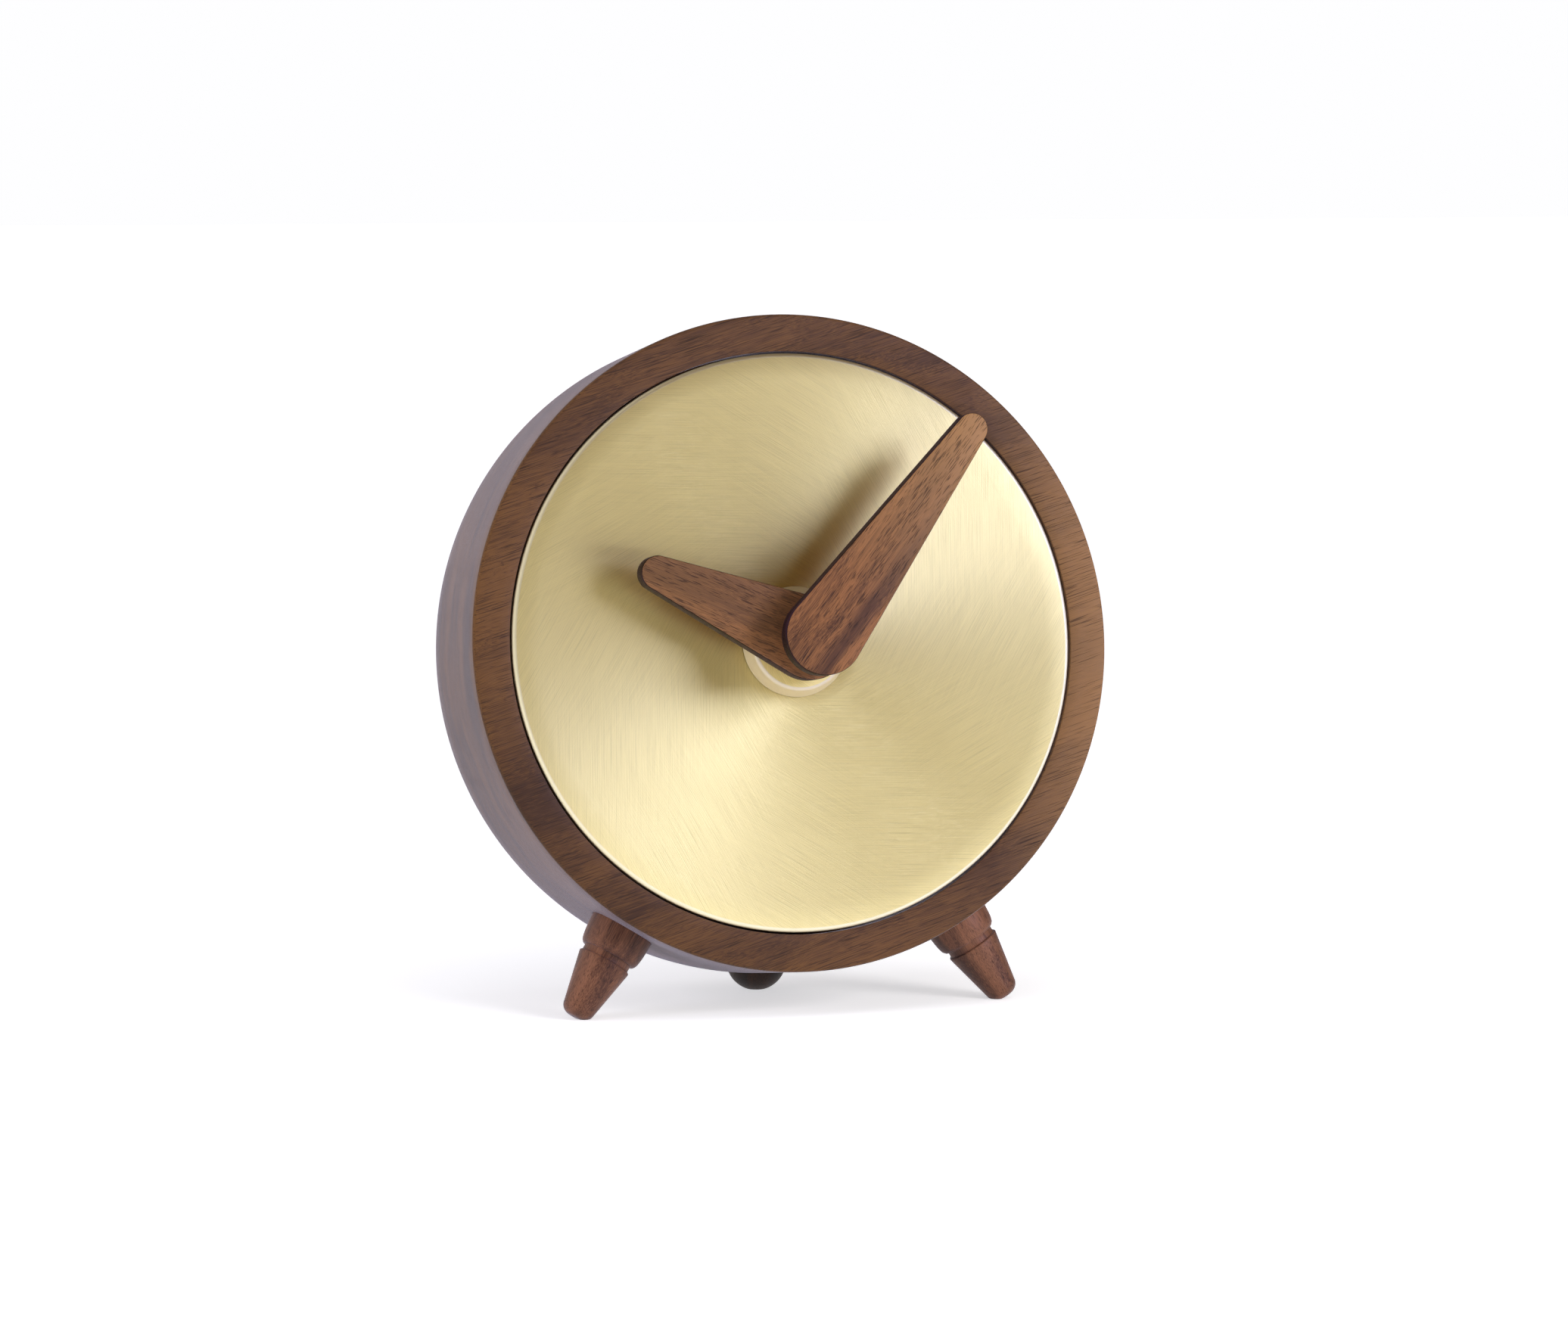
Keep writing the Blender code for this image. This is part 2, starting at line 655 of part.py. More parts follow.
def make_foot(ground):
    """The ball foot: a hemisphere on the shoulder, whose axis leans back with the shoulder's normal."""
    axis = bpy.data.objects.new("foot_axis", None)
    axis.parent = head
    axis.location = (0.0, -foot_centre, -FOOT_DEPTH)
    axis.rotation_euler.x = math.pi / 2 + foot_tilt
    clock.objects.link(axis)
    bore_top = FOOT_STUD_IN_FOOT
    profile = [
        (0.0, FOOT_RADIUS),
        *list(arc(0.0, 0.0, FOOT_RADIUS, FOOT_RADIUS, 90, 0, 7))[1:],
        (FOOT_RADIUS, foot_base),
        (STUD_RADIUS + SEAT_GAP, foot_base),
        (STUD_RADIUS + SEAT_GAP, bore_top),
        (0.0, bore_top),
    ]
    foot = turned("rear_foot", profile, "walnut", steps=LEG_TURN_STEPS, parent=axis)
    boolean(foot, ground)
    case = bpy.data.objects["case_shell"]
    seat = foot_base - WOOD_GAP
    socket = cylinder(
        "foot_socket", FOOT_RADIUS + SEAT_GAP, seat, 2 * FOOT_RADIUS, sides=LEG_TURN_STEPS, parent=axis
    )
    boolean(case, socket)
    bore = cylinder(
        "foot_stud_bore",
        STUD_RADIUS + SEAT_GAP,
        seat - FOOT_STUD_IN_CASE - SEAT_GAP,
        seat + OVERRUN,
        sides=THIN_ROUND_STEPS,
        parent=axis,
    )
    boolean(case, bore)
    cylinder(
        "rear_foot_stud",
        STUD_RADIUS,
        seat - FOOT_STUD_IN_CASE,
        bore_top - SEAT_GAP,
        "steel",
        sides=THIN_ROUND_STEPS,
        parent=axis,
    )


def make_housings():
    """Two moulded shells that meet square to the axis: gear room above, open battery bay below."""
    half = movement_half
    outline = list(rounded_rectangle(-half, -half, half, half, MOVEMENT_CORNER))
    front = plate("front_housing", outline, movement_split, movement_front, "black_abs")
    rear = plate("rear_housing", outline, movement_back, movement_split - SEAT_GAP, "black_abs")
    room = box(
        "front_room",
        (-room_half, room_bottom, movement_split - OVERRUN),
        (room_half, room_half, movement_inner_front),
    )
    boolean(front, room)
    bay = box(
        "front_bay",
        (-room_half, bay_bottom, movement_split - OVERRUN),
        (room_half, bay_top, movement_inner_front),
    )
    boolean(front, bay)
    inset = PILLAR_RADIUS / 2
    corners = (
        (room_half - inset, room_bottom),
        (room_half, room_half - inset),
        (inset - room_half, room_half),
        (-room_half, room_bottom + inset),
    )
    for number, (x, y) in enumerate(corners, 1):
        pillar = cylinder(
            f"pillar_{number}",
            PILLAR_RADIUS,
            plate_front + SEAT_GAP,
            (movement_inner_front + movement_front) / 2,
            sides=PILLAR_SIDES,
            location=(x, y, 0.0),
        )
        boolean(front, pillar, "UNION")
    room = box(
        "rear_room",
        (-room_half, room_bottom, movement_inner_back),
        (room_half, room_half, movement_split + OVERRUN),
    )
    boolean(rear, room)
    bay = box(
        "rear_bay",
        (-room_half, bay_bottom, movement_back - OVERRUN),
        (room_half, bay_top, movement_split + OVERRUN),
    )
    boolean(rear, bay)
    centre_hole = cylinder(
        "bushing_hole", BUSHING_RADIUS + SEAT_GAP, movement_inner_front - OVERRUN, movement_front + OVERRUN
    )
    boolean(front, centre_hole)
    pivot_holes = (
        ("setting_front_hole", front, movement_inner_front, PIVOT_RADIUS, setting_x, setting_y),
        ("setting_rear_hole", rear, movement_inner_back, SETTING_ARBOR_RADIUS, setting_x, setting_y),
        ("third_rear_hole", rear, movement_inner_back, PIVOT_RADIUS, third_x, third_y),
        ("seconds_rear_hole", rear, movement_inner_back, PIVOT_RADIUS, 0.0, 0.0),
    )
    for name, shell, level, radius, x, y in pivot_holes:
        reach = HOUSING_WALL + OVERRUN
        hole = cylinder(
            name,
            radius + RUNNING_FIT,
            level - reach,
            level + reach,
            sides=THIN_ROUND_STEPS,
            location=(x, y, 0.0),
        )
        boolean(shell, hole)


def make_centre_stack():
    """Bushing with its flange behind the housing's wall, and the washer and nut that clamp the dial to it."""
    bore = HOUR_TUBE_RADIUS + RUNNING_FIT
    flange_front = movement_inner_front - SEAT_GAP
    bushing_top = dial_face + BUSHING_RISE
    profile = [
        (BUSHING_RADIUS, bushing_top),
        (BUSHING_RADIUS, flange_front),
        (BUSHING_FLANGE_RADIUS, flange_front),
        (BUSHING_FLANGE_RADIUS, flange_back),
        (bore, flange_back),
        (bore, bushing_top),
    ]
    turned("bushing", profile, "brass", steps=ROUND_STEPS, ring=True)
    washer_back = dial_face + SEAT_GAP
    washer_front = washer_back + WASHER_THICKNESS
    hole = circle(BUSHING_RADIUS + SEAT_GAP)
    plate("bushing_washer", circle(WASHER_RADIUS), washer_back, washer_front, "steel", holes=[hole])
    nut_radius = NUT_ACROSS_FLATS / (2 * math.cos(math.pi / NUT_SIDES))
    nut_back = washer_front + SEAT_GAP
    nut = circle(nut_radius, NUT_SIDES)
    plate("bushing_nut", nut, nut_back, nut_back + NUT_HEIGHT, "brass", holes=[hole])


def make_train():
    """Every wheel with its pinion and arbor, in mesh at rest: a tooth of one faces a gap of the other."""
    facing_centre = SETTING_ANGLE + math.pi
    at_setting = {"location": (setting_x, setting_y, 0.0)}
    at_third = {"location": (third_x, third_y, 0.0)}

    # Centre wheel, cannon pinion and arbor. A socket behind takes the seconds arbor's front pivot.
    arbor_front = MINUTE_FRONT - HAND_COVER - 2 * SEAT_GAP
    arbor_back = centre_back - SIDE_PLAY
    arbor = cylinder("minute_arbor", MINUTE_ARBOR_RADIUS, arbor_back, arbor_front, "steel")
    cannon = wheel("cannon_pinion", CANNON_TEETH, cannon_module, SETTING_ANGLE, centre_front, motion_front)
    boolean(arbor, cannon, "UNION")
    back, front = centre_back, centre_front + RUNNING_FIT
    centre = wheel("centre_wheel", CENTRE_TEETH, centre_module, THIRD_ANGLE, back, front)
    boolean(arbor, centre, "UNION")
    socket_front = arbor_back + SECONDS_SOCKET
    socket = cylinder("seconds_socket", thin_arbor_radius + RUNNING_FIT, arbor_back - OVERRUN, socket_front)
    boolean(arbor, socket)

    # Hour wheel and tube, bored for the minute arbor
    hour = wheel(
        "hour_wheel",
        HOUR_TEETH,
        hour_module,
        SETTING_ANGLE + math.pi / HOUR_TEETH,
        hour_back,
        hour_front,
        "white_acetal",
    )
    tube = cylinder("hour_tube", HOUR_TUBE_RADIUS, (hour_front + hour_back) / 2, HOUR_FRONT)
    boolean(hour, tube, "UNION")
    bore = cylinder(
        "hour_bore", MINUTE_ARBOR_RADIUS + RUNNING_FIT, hour_back - OVERRUN, HOUR_FRONT + OVERRUN
    )
    boolean(hour, bore)

    # Setting wheel on the arbor that runs out through the back to the knob
    knob_seat = movement_back - SIDE_PLAY - KNOB_BORE_DEPTH
    setting = turned(
        "setting_wheel",
        [
            (0.0, movement_inner_front + PIVOT_LENGTH),
            (PIVOT_RADIUS, movement_inner_front + PIVOT_LENGTH),
            (PIVOT_RADIUS, hour_front + RUNNING_FIT),
            (SETTING_ARBOR_RADIUS, hour_front + RUNNING_FIT),
            (SETTING_ARBOR_RADIUS, knob_seat),
            (0.0, knob_seat),
        ],
        "white_acetal",
        steps=THIN_ROUND_STEPS,
        **at_setting,
    )
    gear = wheel(
        "setting_gear",
        SETTING_TEETH,
        cannon_module,
        facing_centre + math.pi / SETTING_TEETH,
        motion_back,
        motion_front,
        **at_setting,
    )
    boolean(setting, gear, "UNION")
    pinion = wheel(
        "setting_pinion",
        SETTING_PINION_TEETH,
        hour_module,
        facing_centre,
        motion_front - RUNNING_FIT,
        hour_front,
        **at_setting,
    )
    boolean(setting, pinion, "UNION")

    # Third wheel, between the middle plate and the rear housing
    third = turned(
        "third_wheel",
        [
            (0.0, plate_back + PIVOT_LENGTH - SIDE_PLAY),
            (PIVOT_RADIUS, plate_back + PIVOT_LENGTH - SIDE_PLAY),
            (PIVOT_RADIUS, plate_back - SIDE_PLAY / 2),
            (thin_arbor_radius, plate_back - SIDE_PLAY / 2),
            (thin_arbor_radius, movement_inner_back + SIDE_PLAY),
            (PIVOT_RADIUS, movement_inner_back + SIDE_PLAY),
            (PIVOT_RADIUS, movement_inner_back - PIVOT_LENGTH),
            (0.0, movement_inner_back - PIVOT_LENGTH),
        ],
        "white_acetal",
        steps=THIN_ROUND_STEPS,
        **at_third,
    )
    gear = wheel("third_gear", THIRD_TEETH, third_module, 0.0, third_back, third_front, **at_third)
    boolean(third, gear, "UNION")
    pinion = wheel(
        "third_pinion",
        THIRD_PINION_TEETH,
        centre_module,
        math.pi / THIRD_PINION_TEETH,
        third_front - RUNNING_FIT,
        centre_front,
        **at_third,
    )
    boolean(third, pinion, "UNION")

    # Seconds wheel, behind the centre wheel on the same line
    seconds = turned(
        "seconds_wheel",
        [
            (0.0, socket_front - SIDE_PLAY),
            (thin_arbor_radius, socket_front - SIDE_PLAY),
            (thin_arbor_radius, movement_inner_back + SIDE_PLAY),
            (PIVOT_RADIUS, movement_inner_back + SIDE_PLAY),
            (PIVOT_RADIUS, movement_inner_back - PIVOT_LENGTH),
            (0.0, movement_inner_back - PIVOT_LENGTH),
        ],
        "white_acetal",
        steps=THIN_ROUND_STEPS,
    )
    gear = wheel("seconds_gear", SECONDS_TEETH, seconds_module, 0.0, seconds_back, seconds_front)
    boolean(seconds, gear, "UNION")
    pinion = wheel(
        "seconds_pinion",
        SECONDS_PINION_TEETH,
        third_module,
        math.pi + math.pi / SECONDS_PINION_TEETH,
        seconds_front - RUNNING_FIT,
        third_front,
    )
    boolean(seconds, pinion, "UNION")


def make_train_plate():
    """The middle plate, which fills the gear room's outline and carries the wheels' front pivots."""
    outline = rounded_rectangle(
        WOOD_GAP - room_half,
        room_bottom + WOOD_GAP,
        room_half - WOOD_GAP,
        room_half - WOOD_GAP,
        WOOD_GAP,
        1,
    )
    cannon_reach = CANNON_TEETH * cannon_module / 2
    holes = [
        circle(cannon_reach + 2 * SIDE_PLAY),
        circle(SETTING_ARBOR_RADIUS + RUNNING_FIT, THIN_ROUND_STEPS, setting_x, setting_y),
        circle(PIVOT_RADIUS + RUNNING_FIT, THIN_ROUND_STEPS, third_x, third_y),
    ]
    plate("train_plate", outline, plate_back, plate_front, "white_acetal", holes=holes)


def make_knob():
    """A ribbed knob on the setting arbor's rear end, within the case's access recess."""
    ribbed = []
    for rib in range(KNOB_RIBS):
        for share, depth in zip(RIB_SHARES, (0.0, 0.0, KNOB_RIB_DEPTH, KNOB_RIB_DEPTH)):
            radius = KNOB_RADIUS - depth
            angle = math.tau * (rib + share) / KNOB_RIBS
            ribbed.append((radius * math.cos(angle), radius * math.sin(angle)))
    front = movement_back - SIDE_PLAY
    back = front - KNOB_HEIGHT
    knob = plate(
        "setting_knob", ribbed, back, front, "black_abs", location=(setting_x, setting_y, 0.0)
    )
    bore = cylinder(
        "knob_bore",
        SETTING_ARBOR_RADIUS + RUNNING_FIT,
        front - KNOB_BORE_DEPTH - SEAT_GAP,
        front + OVERRUN,
        sides=THIN_ROUND_STEPS,
        location=(setting_x, setting_y, 0.0),
    )
    boolean(knob, bore)


def make_motor():
    """Bobbin, winding and the stator whose arm runs through the bobbin. The axis of the coil lies along X."""
    half = COIL_LENGTH_SHARE * movement_half
    left = STATOR_TO_WALL - room_half
    coil_x = left + STATOR_ARM + half
    coil_y = room_half - COIL_TO_WALL
    coil_z = movement_front - COIL_DEPTH
    axis = bpy.data.objects.new("coil_axis", None)
    axis.parent = head
    axis.location = (coil_x, coil_y, coil_z)
    axis.rotation_euler.y = math.pi / 2
    clock.objects.link(axis)
    inner = half - BOBBIN_FLANGE
    spool = [
        (BOBBIN_RADIUS, half),
        (BOBBIN_RADIUS, inner),
        (BOBBIN_CORE_RADIUS, inner),
        (BOBBIN_CORE_RADIUS, -inner),
        (BOBBIN_RADIUS, -inner),
        (BOBBIN_RADIUS, -half),
        (BOBBIN_BORE_RADIUS, -half),
        (BOBBIN_BORE_RADIUS, half),
    ]
    turned("coil_bobbin", spool, "black_abs", steps=THIN_ROUND_STEPS, ring=True, parent=axis)
    winding = [
        (COIL_RADIUS, inner - SEAT_GAP),
        (COIL_RADIUS, SEAT_GAP - inner),
        (BOBBIN_CORE_RADIUS + SEAT_GAP, SEAT_GAP - inner),
        (BOBBIN_CORE_RADIUS + SEAT_GAP, inner - SEAT_GAP),
    ]
    turned("coil_winding", winding, "copper", steps=THIN_ROUND_STEPS, ring=True, parent=axis)
    arm_half = STATOR_ARM / 2
    right = coil_x + half + STATOR_ARM
    low = coil_y - STATOR_DROP_SHARE * room_half
    outline = [
        (left, coil_y + arm_half),
        (left, low - arm_half),
        (right, low - arm_half),
        (right, coil_y + arm_half),
    ]
    window = [
        (left + STATOR_ARM - WOOD_GAP, coil_y - arm_half),
        (left + STATOR_ARM - WOOD_GAP, low + arm_half),
        (right - STATOR_ARM + WOOD_GAP, low + arm_half),
        (right - STATOR_ARM + WOOD_GAP, coil_y - arm_half),
    ]
    half_sheet = STATOR_THICKNESS / 2
    plate(
        "motor_stator", outline, coil_z - half_sheet, coil_z + half_sheet, "steel", holes=[window]
    )


def make_circuit():
    board_back = movement_inner_back + BOARD_STANDOFF
    board_front = board_back + BOARD_THICKNESS
    right = room_half - BOARD_TO_WALL
    left = right - BOARD_LENGTH_SHARE * 2 * movement_half
    top = room_half - BOARD_TO_TOP
    bottom = top - BOARD_WIDTH
    outline = rounded_rectangle(left, bottom, right, top, BOARD_THICKNESS, 2)
    plate("circuit_board", outline, board_back, board_front, "circuit_green")
    axis = bpy.data.objects.new("crystal_axis", None)
    axis.parent = head
    axis.location = ((left + right) / 2, (bottom + top) / 2, board_front + CRYSTAL_RADIUS + SEAT_GAP)
    axis.rotation_euler.y = math.pi / 2
    clock.objects.link(axis)
    half = CRYSTAL_LENGTH / 2
    cylinder("quartz_crystal", CRYSTAL_RADIUS, -half, half, "steel", sides=THIN_ROUND_STEPS, parent=axis)


def make_cell():
    """The AA cell in its bay, the flat positive contact and the coiled negative one."""
    axis = bpy.data.objects.new("cell_axis", None)
    axis.parent = head
    axis.location = (cell_front, cell_y, cell_z)
    axis.rotation_euler.y = math.pi / 2
    clock.objects.link(axis)
    shoulder = -NUB_LENGTH
    minus_end = cell_back - cell_front
    profile = [
        (0.0, 0.0),
        (NUB_RADIUS, 0.0),
        (NUB_RADIUS, shoulder),
        (cell_radius - CELL_EDGE, shoulder),
        (cell_radius, shoulder - CELL_EDGE),
        (cell_radius, minus_end + CELL_EDGE),
        (cell_radius - CELL_EDGE, minus_end),
        (0.0, minus_end),
    ]
    turned("battery_cell", profile, "cell_sleeve", steps=ROUND_STEPS, parent=axis)
    half_width = CONTACT_WIDTH_SHARE * bay_width / 2
    half_height = CONTACT_HEIGHT_SHARE * cell_radius
    for name, low_x in (("contact_plus", plus_contact), ("contact_minus", minus_contact)):
        box(
            name,
            (low_x, cell_y - half_width, cell_z - half_height),
            (low_x + CONTACT_THICKNESS, cell_y + half_width, cell_z + half_height),
            "steel",
        )
    spring_start = minus_contact + CONTACT_THICKNESS + SPRING_WIRE + SEAT_GAP
    spring_end = cell_back - SPRING_WIRE - SEAT_GAP
    count = SPRING_TURNS * SPRING_POINTS_PER_TURN
    curve = bpy.data.curves.new("contact_spring", "CURVE")
    curve.dimensions = "3D"
    curve.bevel_depth = SPRING_WIRE
    curve.bevel_resolution = 1
    curve.use_fill_caps = True
    spline = curve.splines.new("POLY")
    spline.points.add(count)
    for step, point in enumerate(spline.points):
        share = step / count
        radius = SPRING_LARGE_RADIUS + (SPRING_SMALL_RADIUS - SPRING_LARGE_RADIUS) * share
        angle = math.tau * SPRING_TURNS * share
        point.co = (
            spring_start + (spring_end - spring_start) * share,
            cell_y + radius * math.cos(angle),
            cell_z + radius * math.sin(angle),
            1.0,
        )
    guide = bpy.data.objects.new("contact_spring_path", curve)
    cutters.objects.link(guide)
    mesh = welded_mesh("contact_spring", guide)
    bpy.data.objects.remove(guide)
    add("contact_spring", mesh, "steel")


make_case()
make_dial()
make_hands()
make_foot(make_legs())
make_housings()
make_centre_stack()
make_train()
make_train_plate()
make_knob()
make_motor()
make_circuit()
make_cell()
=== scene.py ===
"""Looks of a small table clock: turned walnut drum, brushed brass dial, flat walnut hands, and the quartz
movement that shows through the open back. It is laid out as an add-on and run as a script.

The clock's own frame is used for most pieces: X to the right of the dial, Y up it, Z out of it, with the
origin at the centre of the wooden ring's front face.
"""

import math

import bmesh
import bpy
from mathutils import Matrix, Vector


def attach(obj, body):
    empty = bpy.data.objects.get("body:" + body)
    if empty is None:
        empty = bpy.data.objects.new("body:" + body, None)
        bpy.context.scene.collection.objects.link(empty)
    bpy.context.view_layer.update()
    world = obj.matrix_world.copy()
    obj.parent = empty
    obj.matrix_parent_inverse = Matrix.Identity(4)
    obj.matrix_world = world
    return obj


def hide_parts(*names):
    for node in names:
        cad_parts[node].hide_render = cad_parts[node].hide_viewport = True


bl_info = {
    "name": "Walnut Table Clock",
    "version": (1, 0, 0),
    "blender": (4, 5, 0),
    "location": "View3D > Sidebar > Clock",
    "description": "Builds the looks of a walnut and brass table clock round its packed CAD model",
    "category": "Object",
}

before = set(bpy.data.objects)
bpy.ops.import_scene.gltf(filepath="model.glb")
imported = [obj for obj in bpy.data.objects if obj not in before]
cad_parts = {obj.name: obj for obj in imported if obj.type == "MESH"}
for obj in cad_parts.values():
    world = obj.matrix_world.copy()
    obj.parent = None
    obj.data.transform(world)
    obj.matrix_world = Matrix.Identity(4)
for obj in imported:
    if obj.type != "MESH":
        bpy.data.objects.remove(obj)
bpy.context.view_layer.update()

# Places of the clock's own frames in the row frame
LEAN = math.radians(9.13)
DIAL_CENTRE = Vector((0.0, -0.0143389, 0.056387))
HEAD = Matrix.Translation(DIAL_CENTRE) @ Matrix.Rotation(math.pi / 2 - LEAN, 4, "X")

# The photograph's camera: its place from the dial's centre, and its lens on a 36 mm sensor
CAMERA_FROM_DIAL = Vector((-0.2298, -0.7623, 0.0787))
CAMERA_TILT = math.radians(90 - 5.95)
CAMERA_TURN = math.radians(-16.66)
CAMERA_LENS = 121.2
CAMERA_RANGE = (0.01, 100.0)
SENSOR_WIDTH = 36.0

MILLIMETRE = 0.001
SEAT_GAP = 0.0001


def linear(code):
    """An sRGB hex colour such as "#7A4B2C" as linear red, green and blue."""
    found = []
    for start in (1, 3, 5):
        value = int(code[start : start + 2], 16) / 255
        found.append(value / 12.92 if value <= 0.04045 else ((value + 0.055) / 1.055) ** 2.4)
    return tuple(found)


def length(name, description, default):
    return bpy.props.FloatProperty(
        name=name, description=description, default=default, min=0.0, precision=5, unit="LENGTH"
    )


def angle(name, description, degrees):
    return bpy.props.FloatProperty(
        name=name, description=description, default=math.radians(degrees), unit="ROTATION"
    )


def colour(name, description, code):
    return bpy.props.FloatVectorProperty(
        name=name, description=description, default=linear(code), size=3, min=0.0, max=1.0, subtype="COLOR"
    )


def strength(name, description, default):
    return bpy.props.FloatProperty(name=name, description=description, default=default, min=0.0)


def direction(name, description, default):
    return bpy.props.FloatVectorProperty(
        name=name, description=description, default=default, size=3, subtype="DIRECTION"
    )


class CaseSettings(bpy.types.PropertyGroup):
    """Sizes of the turned drum."""

    radius: length("Radius", "Outer radius of the drum's plain side", 0.0500)
    depth: length("Depth", "From the ring's face to the back", 0.0400)
    plain_side: length("Plain side", "Depth of the straight side before the shoulder", 0.0220)
    back_radius: length("Back radius", "Radius where the shoulder meets the flat back", 0.0380)
    edge_round: length("Edge round", "Rounding of the ring's outer edge", 0.0005)
    bore_radius: length("Bore radius", "Radius of the room for the movement", 0.0410)
    back_wall: length("Back wall", "Thickness of the wood behind the bore", 0.0060)
    access_radius: length("Access radius", "Radius of the opening in the back", 0.0310)
    access_chamfer: length("Access chamfer", "Chamfer round the opening in the back", 0.0010)
    seat_radius: length("Dial seat radius", "Inner radius of the wooden ring", 0.0443)
    ledge: length("Ledge", "Depth of the ledge that the dial's backing lies on", 0.0044)


class DialSettings(bpy.types.PropertyGroup):
    """Sizes of the spun dial and its collar."""

    radius: length("Radius", "Radius of the dial's rolled rim", 0.0440)
    proud: length("Proud", "Height of the dial's face above the wooden ring", 0.0005)
    seat: length("Nut seat", "Depth below the wooden ring of the flat that the nut clamps", 0.0002)
    sheet: length("Sheet", "Thickness of the brass", 0.0010)
    skirt: length("Skirt", "Depth of the rim's skirt", 0.0035)
    hole_radius: length("Hole radius", "Radius of the centre hole", 0.0042)
    fall_width: length("Fall width", "Width of the zone where the sheet falls away to its rim", 0.0040)
    fall: length("Fall", "How far the sheet falls away before the rim rounds over", 0.0002)
    roll: length("Roll", "Radius of the rounded rim", 0.0007)
    collar_foot: length("Collar foot radius", "Outer radius of the collar at the dial", 0.0084)
    collar_top: length("Collar top radius", "Outer radius of the collar at its top", 0.0077)
    collar_inner: length("Collar inner radius", "Inner radius of the collar", 0.0065)
    collar_hole: length("Collar hole radius", "Radius of the hole in the collar's flat top", 0.0043)
    collar_plate: length("Collar plate", "Thickness of the collar's flat top", 0.0007)
    collar_round: length("Collar rounding", "Rounding of the collar's upper edge", 0.0007)
    collar_rise: length("Collar rise", "Height of the collar above the wooden ring", 0.0032)


class HandSettings(bpy.types.PropertyGroup):
    """Sizes of the two wooden hands."""

    thickness: length("Thickness", "Thickness of both hands", 0.0030)
    ease: length("Eased edge", "Rounding of the hands' edges", 0.0003)
    minute_front: length("Minute hand level", "Front of the minute hand above the ring's face", 0.0162)
    minute_hub: length("Minute hub radius", "Radius of the minute hand's broad end", 0.0060)
    minute_tip: length("Minute tip radius", "Radius of the minute hand's tip", 0.0024)
    minute_centres: length("Minute centres", "From the hub's centre to the tip's", 0.0391)
    minute_angle: angle("Minute angle", "Direction of the minute hand from the dial's right", 51.0)
    hour_front: length("Hour hand level", "Front of the hour hand above the ring's face", 0.0089)
    hour_hub: length("Hour hub radius", "Radius of the hour hand's broad end", 0.00625)
    hour_tip: length("Hour tip radius", "Radius of the hour hand's tip", 0.0026)
    hour_centres: length("Hour centres", "From the hub's centre to the tip's", 0.0255)
    hour_angle: angle("Hour angle", "Direction of the hour hand from the dial's right", 155.9)
    minute_bore: length("Minute bore", "Radius of the blind bore for the minute hand's bush", 0.00245)
    minute_cover: length("Minute cover", "Wood left in front of the minute hand's bore", 0.0009)
    hour_bore: length("Hour bore", "Radius of the bore for the hour hand's bush", 0.00335)


class LegSettings(bpy.types.PropertyGroup):
    """Sizes of the two turned legs and the ball foot."""

    spread: angle("Spread", "Angle of each leg from straight down", 32.0)
    depth: length("Depth", "From the ring's face back to the legs' axes", 0.0099)
    reach: length("Reach", "Length of each leg below the drum", 0.0150)
    seat: length("Seat", "How deep each leg stands in the drum", 0.0009)
    top_radius: length("Top radius", "Radius where the leg meets the drum", 0.0050)
    collar_radius: length("Collar radius", "Radius at the collar's lower end", 0.00436)
    collar_length: length("Collar length", "From the drum's side to the groove", 0.00433)
    groove_radius: length("Groove radius", "Radius at the bottom of the groove", 0.00383)
    groove_width: length("Groove width", "Width of the groove", 0.00107)
    shaft_radius: length("Shaft radius", "Radius of the tapered part's top", 0.00415)
    tip_radius: length("Tip radius", "Radius of the tapered part's end", 0.00255)
    tip_round: length("Tip round", "Rounding of the leg's end", 0.0017)
    edge: length("Edge", "Easing of the turned edges", 0.0002)
    foot_radius: length("Foot radius", "Radius of the ball foot", 0.0047)
    foot_depth: length("Foot depth", "From the ring's face back to the foot's centre", 0.0288)
    foot_flat: length("Foot flat", "How much of the foot is worn flat", 0.00025)
    foot_shank: length("Foot shank", "Plain part of the foot that stands in the drum", 0.000304)


class MovementSettings(bpy.types.PropertyGroup):
    """Sizes of what shows in the open back."""

    cell_radius: length("Cell radius", "Radius of the AA cell", 0.00715)
    cell_length: length("Cell length", "Length of the AA cell without its nub", 0.0495)
    cell_sleeve: length("Sleeve roll", "Radius of the shrunk sleeve's rolled ends", 0.0006)
    nub_radius: length("Nub radius", "Radius of the cell's positive nub", 0.0027)
    nub_length: length("Nub length", "Length of the cell's positive nub", 0.0010)
    spring_wire: length("Spring wire", "Radius of the contact spring's wire", 0.00025)
    spring_large: length("Spring base", "Radius of the spring's first turn", 0.0034)
    spring_small: length("Spring end", "Radius of the spring's last turn", 0.0018)
    cell_place: bpy.props.FloatVectorProperty(
        name="Cell place",
        description="Where the nub's end lies in the clock's own frame",
        default=(0.0262, -0.0193, -0.01285),
        size=3,
        precision=5,
        unit="LENGTH",
    )
    spring_span: bpy.props.FloatVectorProperty(
        name="Spring span",
        description="Where the contact spring starts and ends across the bay",
        default=(-0.02595, -0.02465),
        size=2,
        precision=5,
        unit="LENGTH",
    )
    mould_round: length("Mould round", "Rounding of moulded edges", 0.00025)


